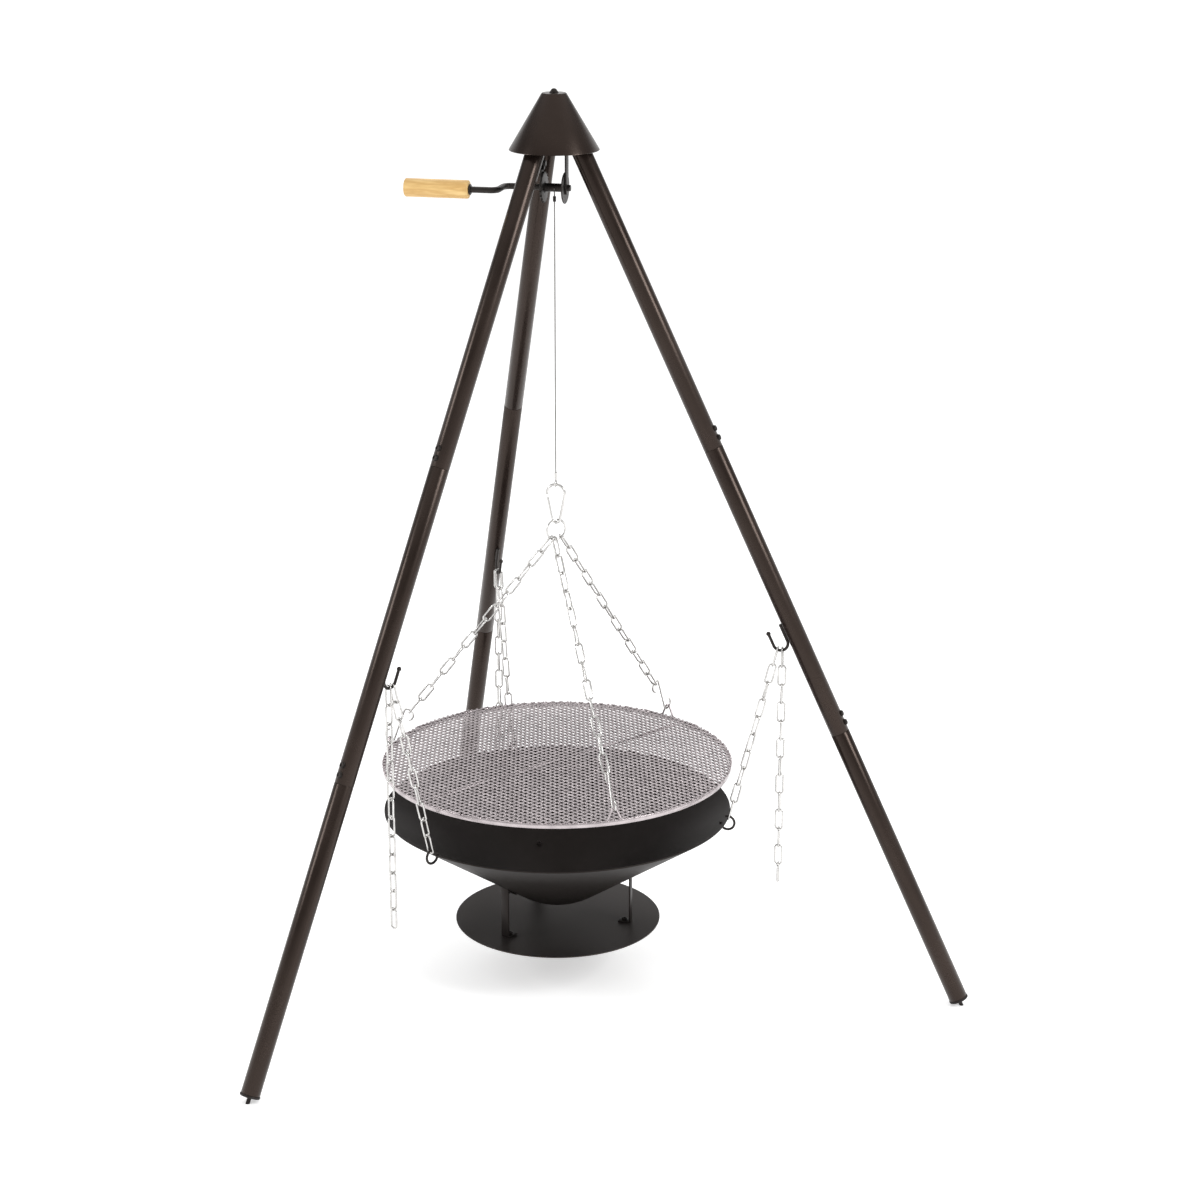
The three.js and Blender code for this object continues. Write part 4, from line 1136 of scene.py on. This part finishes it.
@dataclass
class Grill:
    """The grate, its chains, the lift ring, the carabiner and the cable."""

    bench: Bench
    chains: ChainMaker
    surface_z: float = 453
    radius: float = 350
    eye_height: float = 22
    eye_base: float = 36
    eye_wire: float = 4
    ring_r: float = 20.5
    ring_wire: float = 4
    ring_turn: float = 30
    hook_length: float = 80
    hook_bend: float = 12
    hook_wire: float = 4
    links: int = 13
    hoop_inset: float = 3
    hoop_drop: float = 2.3
    hoop_deep: float = 9.5
    hoop_wall: float = 4
    edge_gap: float = 0.5
    rod_d: float = 5
    rod_turn: float = 40
    strand_pitch: float = 12
    strand_turn: float = 44
    raised_strand: tuple[float, float] = (3.5, 4.2)
    flat_strand: tuple[float, float] = (3.2, 2.8)
    carabiner_turn: float = -15
    carabiner_wire: float = 5.5
    carabiner_length: float = 76.5
    cable_d: float = 2.5
    gap: float = 0.3

    def __post_init__(self) -> None:
        """Work out the hanging heights, in millimetres, from the chain's length."""
        self.eye_z = self.surface_z + self.eye_height
        self.eye_r = self.radius - self.hoop_inset
        self.eye_seat = self.eye_wire / math.sqrt(2) + self.hook_wire / 2 + self.gap
        reach = self.chains.seat(self.ring_wire / 2) + (self.links - 1) * self.chains.pitch
        reach += self.chains.seat(self.hook_wire / 2) + self.hook_length - self.eye_seat
        self.ring_z = self.eye_z + math.sqrt(reach**2 - self.eye_r**2) + self.ring_r
        ring_top = self.ring_z + self.ring_r - self.ring_wire / 2
        self.carabiner_z = ring_top - self.carabiner_wire / 2 - self.chains.seat_gap

    def hang(self, eye: Eye) -> None:
        """The chain and the S-hook from the lift ring to one eye.

        Args:
            eye: the eye that they hold.
        """
        low = polar(eye.value, self.eye_r, self.eye_z)
        ring_side = toward(self.ring_turn)
        lead = (low - polar(0, 0, self.ring_z - self.ring_r)).normalized()
        a = math.atan2(lead.dot(ring_side), -lead.z)
        aside = ring_side * self.ring_r * MM * math.sin(a)
        start = polar(0, 0, self.ring_z - self.ring_r * math.cos(a)) + aside
        down = (low - start).normalized()
        round_ = toward(eye.value + 90)
        tangent = ring_side * math.cos(a) + Z * math.sin(a)
        bottom = low + down * self.eye_seat * MM
        top = bottom - down * self.hook_length * MM
        first = start + down * self.chains.seat(self.ring_wire / 2) * MM
        last = top - down * self.chains.seat(self.hook_wire / 2) * MM
        name = f"grate_chain_{eye.name}"
        self.chains.run(name, "grill", first, last, self.links, down.cross(tangent), round_)
        side = round_.cross(down).normalized()
        upper = top + down * self.hook_bend * MM
        lower = bottom - down * self.hook_bend * MM
        path = arc(upper, down, side, self.hook_bend, 55, 245, 22)
        path += arc(lower, down, side, self.hook_bend, 65, -125, 22)
        obj = self.bench.wire(path, self.hook_wire)
        self.bench.finish(obj, f"s_hook_{eye.name}_wire", ZINC, "grill", f"s_hook_{eye.name}", angle=60)

    def strands(self, turn: float, size: tuple[float, float]) -> bpy.types.Object:
        """One family of parallel strands, each cut to the grate's round.

        Args:
            turn: the strands' direction, in degrees.
            size: a strand's width and depth.

        Returns:
            The strands as one mesh.
        """
        count = int(self.radius / self.strand_pitch)
        bars = []
        for i in range(-count, count + 1):
            offset = (i + 0.5) * self.strand_pitch
            if abs(offset) > self.eye_r:
                continue
            half = math.sqrt(self.radius**2 - offset**2) - self.edge_gap
            bpy.ops.object.select_all(action="DESELECT")
            bpy.ops.mesh.primitive_cylinder_add(
                vertices=6,
                radius=MM / 2,
                depth=2 * half * MM,
                rotation=(0, math.pi / 2, 0),
                location=(0, offset * MM, 0),
                scale=(size[1], size[0], 1),
            )
            bar = bpy.context.active_object
            bpy.ops.object.transform_apply()
            bars.append(bar)
        rise = AXIS + Vector((0, 0, (self.surface_z - size[1] / 2) * MM))
        place = Matrix.Translation(rise) @ Matrix.Rotation(math.radians(turn), 4, "Z")
        return self.bench.place(self.bench.join(bars), place)

    def mesh(self) -> None:
        """The expanded sheet: two crossing families of strands, one raised above the other."""
        first = self.strands(self.strand_turn, self.flat_strand)
        second = self.strands(-self.strand_turn, self.raised_strand)
        obj = self.bench.join([first, second])
        self.bench.finish(obj, "grate_mesh_strands", CHROME, "grill", "grate_mesh", angle=70)

    def rim(self) -> None:
        """The hoop, the cross rod and the three eyes."""
        top, outer, ease = self.surface_z - self.hoop_drop, self.radius - self.edge_gap, 0.4
        low, inner = top - self.hoop_deep, outer - self.hoop_wall
        hoop = [(inner, low + 0.5), (inner + 0.5, low), (outer - 0.5, low), (outer, low + 0.5)]
        hoop += [(outer, top - ease), (outer - ease, top), (inner + ease, top), (inner, top - ease)]
        hoop += [(inner, low + 0.5)]
        pieces = [self.bench.place(self.bench.spun(hoop, 144), Matrix.Translation(AXIS))]
        rod_z = top - self.rod_d / 2
        ends = [polar(self.rod_turn, r, rod_z) for r in (self.eye_r, -self.eye_r)]
        pieces.append(self.bench.wire(ends, self.rod_d, facets=6))
        bend_r = 5
        for eye in Eye:
            side = toward(eye.value + 90)
            foot = polar(eye.value, self.eye_r, top - 3)
            half = side * ((self.eye_base - self.eye_wire) / 2 * MM)
            crown = polar(eye.value, self.eye_r, self.eye_z) - Z * bend_r * MM
            path = [foot - half, *arc(crown, side, Z, bend_r, 150, 30, 12), foot + half]
            pieces.append(self.bench.wire(path, self.eye_wire))
        obj = self.bench.join(pieces)
        self.bench.finish(obj, "grate_frame_hoop", CHROME, "grill", "grate_frame", angle=50)

    def ring(self) -> None:
        """The lift ring."""
        centre = polar(0, 0, self.ring_z)
        loop = arc(centre, toward(self.ring_turn), Z, self.ring_r, 0, 360, 49)[:-1]
        obj = self.bench.wire(loop, self.ring_wire, closed=True, facets=5)
        self.bench.finish(obj, "lift_ring_wire", ZINC, "grill", "lift_ring", angle=60)

    def carabiner(self) -> None:
        """The pear-shaped carabiner with its sprung gate."""
        side, out = toward(self.carabiner_turn), toward(self.carabiner_turn + 90)
        crown_r, nose_r, gate_d, cheek_d, rivet_d = 17.75, 8, 4.6, 1.5, 2.2
        cheek_aside, rivet_half = out * 2.9 * MM, out * 3.6 * MM
        crown_rise = self.carabiner_length - crown_r
        base = polar(0, 0, self.carabiner_z)
        lean = math.degrees(math.asin((crown_r - nose_r) / (crown_rise - nose_r)))
        crown, nose = base + Z * crown_rise * MM, base + Z * nose_r * MM
        body = arc(nose, side, Z, nose_r, 206, 360 - lean, 20)
        body += arc(crown, side, Z, crown_r, -lean, 180 + lean, 34)
        free = math.radians(180 + lean)
        outward = side * math.cos(free) + Z * math.sin(free)
        low, high = nose + nose_r * MM * outward, crown + crown_r * MM * outward
        line = [low.lerp(high, t) for t in (0.05, 0.1, 0.5, 0.88)]
        gate = self.bench.wire(line, gate_d, facets=5)
        bent = [self.bench.wire(body, self.carabiner_wire, facets=6)]
        for aside in (-cheek_aside, cheek_aside):
            bent.append(self.bench.wire([corner + aside for corner in (body[1], body[0], line[0])], cheek_d))
        obj = self.bench.join(bent)
        self.bench.finish(obj, "carabiner_bent_body", ZINC, "grill", "carabiner_body", angle=60)
        rivet = self.bench.wire([line[0] - rivet_half, line[0] + rivet_half], rivet_d)
        obj = self.bench.join([gate, rivet])
        self.bench.finish(obj, "carabiner_gate_rod", ZINC, "gate", "carabiner_gate", angle=50)

    def cable(self) -> None:
        """The laid cable, its ferrule with an eye, and the stop sleeve below the drum."""
        eye_r, press_r, press_length, ease = 6.5, 3, 16, 0.7
        carabiner_top = self.carabiner_z + self.carabiner_length
        eye_z = carabiner_top - self.carabiner_wire / 2 - self.cable_d / 2 - self.gap + eye_r
        press_low = eye_z + eye_r - 0.5
        press_top = press_low + press_length
        loop = arc(polar(0, 0, eye_z), toward(self.carabiner_turn + 90), Z, eye_r, 0, 360, 33)[:-1]
        eye = self.bench.wire(loop, self.cable_d, closed=True)
        press = [(0, press_low), (2.4, press_low), (press_r, press_low + ease)]
        press += [(press_r, press_top - ease), (2.4, press_top), (0, press_top)]
        sleeve = self.bench.place(self.bench.spun(press, 32), Matrix.Translation(AXIS))
        ferrule = self.bench.join([eye, sleeve])
        self.bench.finish(ferrule, "cable_ferrule_pressed", ZINC, "grill", "cable_ferrule")
        low, high = press_top + self.gap, AXLE_Z
        strand_r, strand_d, lay, steps = 0.78, 0.9, 14, 240
        strands = []
        for k in range(6):
            helix = []
            for i in range(steps + 1):
                z = low + (high - low) * i / steps
                helix.append(polar(360 * z / lay + 60 * k, strand_r, z))
            strands.append(self.bench.wire(helix, strand_d, facets=1))
        rope = self.bench.join(strands)
        self.bench.finish(rope, "cable_laid", ROPE, None, "cable", angle=80)
        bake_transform(rope)
        (high - low) * MM
        bore, stop_r, stop_low, stop_top = 1.55, 3, 1571.5, 1581.5
        stop = [(bore, stop_low), (2.6, stop_low), (stop_r, stop_low + 0.5), (stop_r, stop_top - 0.5)]
        stop += [(2.6, stop_top), (bore, stop_top), (bore, stop_low)]
        obj = self.bench.place(self.bench.spun(stop, 32), Matrix.Translation(AXIS))
        self.bench.finish(obj, "cable_stop_sleeve", BLACK_STEEL, "stand", "cable_stop")

    def build(self) -> None:
        """Make everything that hangs on the cable, and the cable."""
        for eye in Eye:
            self.hang(eye)
        for step in (self.mesh, self.rim, self.ring, self.carabiner, self.cable):
            step()


# ------------------------------------------------------------------ fire bowl


@dataclass
class FireBowl:
    """The hanging bowl, its hooks and chains, and the disc below it."""

    bench: Bench
    chains: ChainMaker
    legs: dict[Side, Leg]
    rim_r: float = 348
    slope: float = 33.7
    bottom_r: float = 150
    wall: float = 2.5
    hook_r: float = 14
    hook_wire: float = 5
    hook_inset: float = 1.9
    hook_drop: float = 5
    hole_d: float = 9.5
    links: int = 10
    tail_links: int = 13
    chain_angle: float = 24
    tail_angle: float = -16
    disc_r: float = 207.5
    disc_thick: float = 2.5
    bracket_r: float = 153
    bracket_thick: float = 3
    bracket_wide: float = 20
    tab: float = 25
    gap: float = 0.3

    def __post_init__(self) -> None:
        """Take the rim's and the disc's heights from the frame."""
        self.rim_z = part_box("fire_bowl")[1].z / MM
        self.disc_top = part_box("base_disc")[1].z / MM
        self.sin, self.cos = math.sin(math.radians(self.slope)), math.cos(math.radians(self.slope))
        self.apex = self.rim_z - self.rim_r * self.sin / self.cos

    def inside(self, radius: float) -> float:
        """The inner wall's height at a radius, above the rounded bottom."""
        return self.apex + radius * self.sin / self.cos

    def under(self, radius: float) -> float:
        """The height just below the outer wall at a radius, where a bracket lies."""
        return self.inside(radius) - (self.wall + self.gap) / self.cos

    def wall_axes(self, side: Side) -> tuple[Vector, Vector]:
        """The directions up the wall and out of it at one side."""
        return toward(side.value, self.cos, self.sin), toward(side.value, self.sin, -self.cos)

    def bowl(self) -> None:
        """The spun sheet bowl with its hook holes."""
        inner, outer, steps = [], [], 12
        ball = self.apex + self.bottom_r / self.cos
        for i in range(steps + 1):
            a = math.radians(self.slope) * i / steps
            inner.append((self.bottom_r * math.sin(a), ball - self.bottom_r * math.cos(a)))
            r = self.bottom_r + self.wall
            outer.append((r * math.sin(a), ball - r * math.cos(a)))
        under = self.rim_z - self.wall / self.cos
        edge = [(self.rim_r - 0.3, under), (self.rim_r, under + 0.4), (self.rim_r, self.rim_z - 0.4)]
        profile = [*outer, *edge, (self.rim_r - 0.3, self.rim_z), *inner[::-1]]
        obj = self.bench.place(self.bench.spun(profile, 160), Matrix.Translation(AXIS))
        across = math.sqrt(self.hook_r**2 - self.hook_drop**2)
        for side in Side:
            up, off = self.wall_axes(side)
            middle = polar(side.value, self.rim_r - self.wall / 2 * self.sin, self.rim_z)
            hole = middle - up * (self.hook_inset + across) * MM
            drill = self.bench.wire([hole - off * 12 * MM, hole + off * 12 * MM], self.hole_d, facets=6)
            self.bench.cut(obj, drill)
        self.bench.finish(obj, "fire_bowl_spun", BOWL_COAT, "stand", "fire_bowl", angle=28)

    def hook(self, side: Side) -> Vector:
        """The open hook through the wall at one side.

        Args:
            side: which leg it faces.

        Returns:
            The hook's centre.
        """
        up, off = self.wall_axes(side)
        half = self.wall / 2
        middle = polar(side.value, self.rim_r - half * self.sin, self.rim_z - half * self.cos)
        centre = middle - up * self.hook_inset * MM + off * self.hook_drop * MM
        obj = self.bench.wire(arc(centre, up, -off, self.hook_r, 140, 435, 40), self.hook_wire, facets=5)
        name = f"bowl_hook_{side.name}"
        self.bench.finish(obj, f"{name}_wire", BLACK_STEEL, "stand", name, angle=60)
        return centre

    def hanging(self, side: Side) -> None:
        """The hook, the chain that carries it and the chain's loose tail.

        Args:
            side: which leg they hang on.
        """
        leg = self.legs[side]
        round_ = toward(side.value + 90)
        centre = self.hook(side)
        start = leg.hook_point(self.chain_angle)
        down = (centre - start).normalized()
        seat = self.chains.seat(leg.hook_wire / 2) * MM
        last = centre - down * (self.hook_r + self.chains.seat(self.hook_wire / 2)) * MM
        name = f"bowl_chain_{side.name}"
        self.chains.run(name, "stand", start + down * seat, last, self.links, round_, round_)
        top = leg.hook_point(self.tail_angle) - Z * seat
        end = top - Z * (self.tail_links - 1) * self.chains.pitch * MM
        name = f"chain_tail_{side.name}"
        self.chains.run(name, f"tail_{side.name}", top, end, self.tail_links, round_, round_)

    def bracket(self, side: Side) -> None:
        """The bent flat bar between bowl and disc, with its two bolts.

        Args:
            side: which leg it faces.
        """
        r, t, low = self.bracket_r, self.bracket_thick, self.disc_top + self.gap
        end, inner, slant = r - self.tab, r - t, t / self.cos
        outline = [(end, low), (r, low), (r, self.under(r)), (end, self.under(end))]
        outline += [(end, self.under(end) - slant), (inner, self.under(inner) - slant)]
        outline += [(inner, low + t), (end, low + t)]
        corners = [Vector((x, -self.bracket_wide / 2, z)) * MM for x, z in outline]
        bar = self.bench.plate(corners, Vector((0, self.bracket_wide * MM, 0)))
        self.bench.bevel(bar, 0.6)
        foot, wall = end + self.tab * 0.42, end + self.tab * 0.5
        off = Vector((self.sin, 0, -self.cos))
        on_wall = Vector((wall, 0, self.inside(wall))) * MM
        on_disc = Matrix.Translation(Vector((foot, 0, low + t)) * MM)
        below_disc = Vector((foot, 0, self.disc_top - self.disc_thick)) * MM
        parts = [
            bar,
            self.bench.bolt(BUTTON_HEAD, on_disc),
            self.bench.bolt(BUTTON_HEAD, standing(-off, on_wall - off * 0.2 * MM)),
            self.bench.bolt(WALL_NUT, standing(off, on_wall + off * (self.wall + t + self.gap) * MM)),
            self.bench.bolt(DISC_NUT, standing(-Z, below_disc)),
        ]
        turn = Matrix.Rotation(math.radians(side.value), 4, "Z")
        obj = self.bench.place(self.bench.join(parts), Matrix.Translation(AXIS) @ turn)
        name = f"bracket_{side.name}"
        self.bench.finish(obj, f"{name}_bar", BOWL_COAT, "stand", name, angle=30)

    def disc(self) -> None:
        """The flat sheet disc."""
        top, low, r, ease = self.disc_top, self.disc_top - self.disc_thick, self.disc_r, 0.4
        profile = [(0, low), (r - ease, low), (r, low + ease), (r, top - ease), (r - ease, top), (0, top)]
        obj = self.bench.place(self.bench.spun(profile, 144), Matrix.Translation(AXIS))
        self.bench.finish(obj, "base_disc_sheet", DISC_COAT, "stand", "base_disc")

    def build(self) -> None:
        """Make the bowl and all that hangs it and hangs from it."""
        self.bowl()
        self.disc()
        for side in Side:
            self.hanging(side)
            self.bracket(side)


# ------------------------------------------------------------------ studio


@dataclass
class Studio:
    """The camera, the floor and the lights."""

    distance: float = 5.178
    height: float = 2.380
    pitch: float = 72.88
    yaw: float = -0.95
    lens: float = 82.5
    sensor: float = 36
    aim_height: float = 0.8

    def camera(self) -> None:
        """The camera at the height and distance of the view."""
        data = bpy.data.cameras.new("camera")
        data.lens, data.sensor_width = self.lens, self.sensor
        camera = bpy.data.objects.new("camera", data)
        bpy.context.scene.collection.objects.link(camera)
        camera.location = AXIS + Vector((0, -self.distance, self.height))
        camera.rotation_euler = (math.radians(self.pitch), 0, math.radians(self.yaw))
        bpy.context.scene.camera = camera

    def floor(self) -> None:
        """A plain pale floor."""
        bpy.ops.object.select_all(action="DESELECT")
        bpy.ops.mesh.primitive_plane_add(size=60)
        floor = bpy.context.active_object
        floor.name = "floor"
        shader = Shader("floor_pale")
        shader.set(
            Base_Color=(0.9, 0.9, 0.9, 1),
            Roughness=0.9,
            Emission_Color=(1, 1, 1, 1),
            Emission_Strength=0.45,
        )
        floor.data.materials.append(shader.material)

    def lights(self) -> None:
        """A sky that is pale at the horizon and overhead and darker between, and three soft boxes."""
        world = bpy.data.worlds.new("sky")
        bpy.context.scene.world = world
        world.use_nodes = True
        nodes, links = world.node_tree.nodes, world.node_tree.links
        sky, direction = nodes["Background"], nodes.new("ShaderNodeTexCoord")
        height, ramp = nodes.new("ShaderNodeSeparateXYZ"), nodes.new("ShaderNodeValToRGB")
        links.new(direction.outputs["Generated"], height.inputs[0])
        links.new(height.outputs["Z"], ramp.inputs[0])
        links.new(ramp.outputs[0], sky.inputs[0])
        stops = [(0.0, 1.0), (0.2, 1.0), (0.32, 0.2), (0.5, 0.35), (0.75, 1.0)]
        Shader.set_stops(ramp.color_ramp, [(rise, (level,) * 3) for rise, level in stops])
        sky.inputs[1].default_value = 0.95
        boxes = [((-4.2, -1.2, 2.6), 1.4, 60), ((3.6, -2.2, 3.0), 1.6, 105), ((0.4, 3.2, 4.2), 3.0, 50)]
        for i, (place, size, power) in enumerate(boxes):
            data = bpy.data.lights.new(f"softbox_{i}", "AREA")
            data.size, data.energy = size, power
            light = bpy.data.objects.new(f"softbox_{i}", data)
            bpy.context.scene.collection.objects.link(light)
            light.location = AXIS + Vector(place)
            aim = AXIS + Z * self.aim_height - light.location
            light.rotation_euler = aim.to_track_quat("-Z", "Y").to_euler()

    def build(self) -> None:
        """Set the studio up."""
        self.camera()
        self.floor()
        self.lights()
        bpy.context.scene.view_settings.view_transform = "Standard"


def main() -> None:
    """Build every sub-assembly in order."""
    logging.basicConfig(level=logging.INFO, format="%(name)s %(message)s")
    Studio().build()
    bench = Bench()
    chains = ChainMaker(bench)
    legs = {side: Leg(bench, side) for side in Side}
    Grill(bench, chains).build()
    for leg in legs.values():
        leg.build()
    Head(bench).build()
    FireBowl(bench, chains, legs).build()


if __name__ == "__main__":
    main()
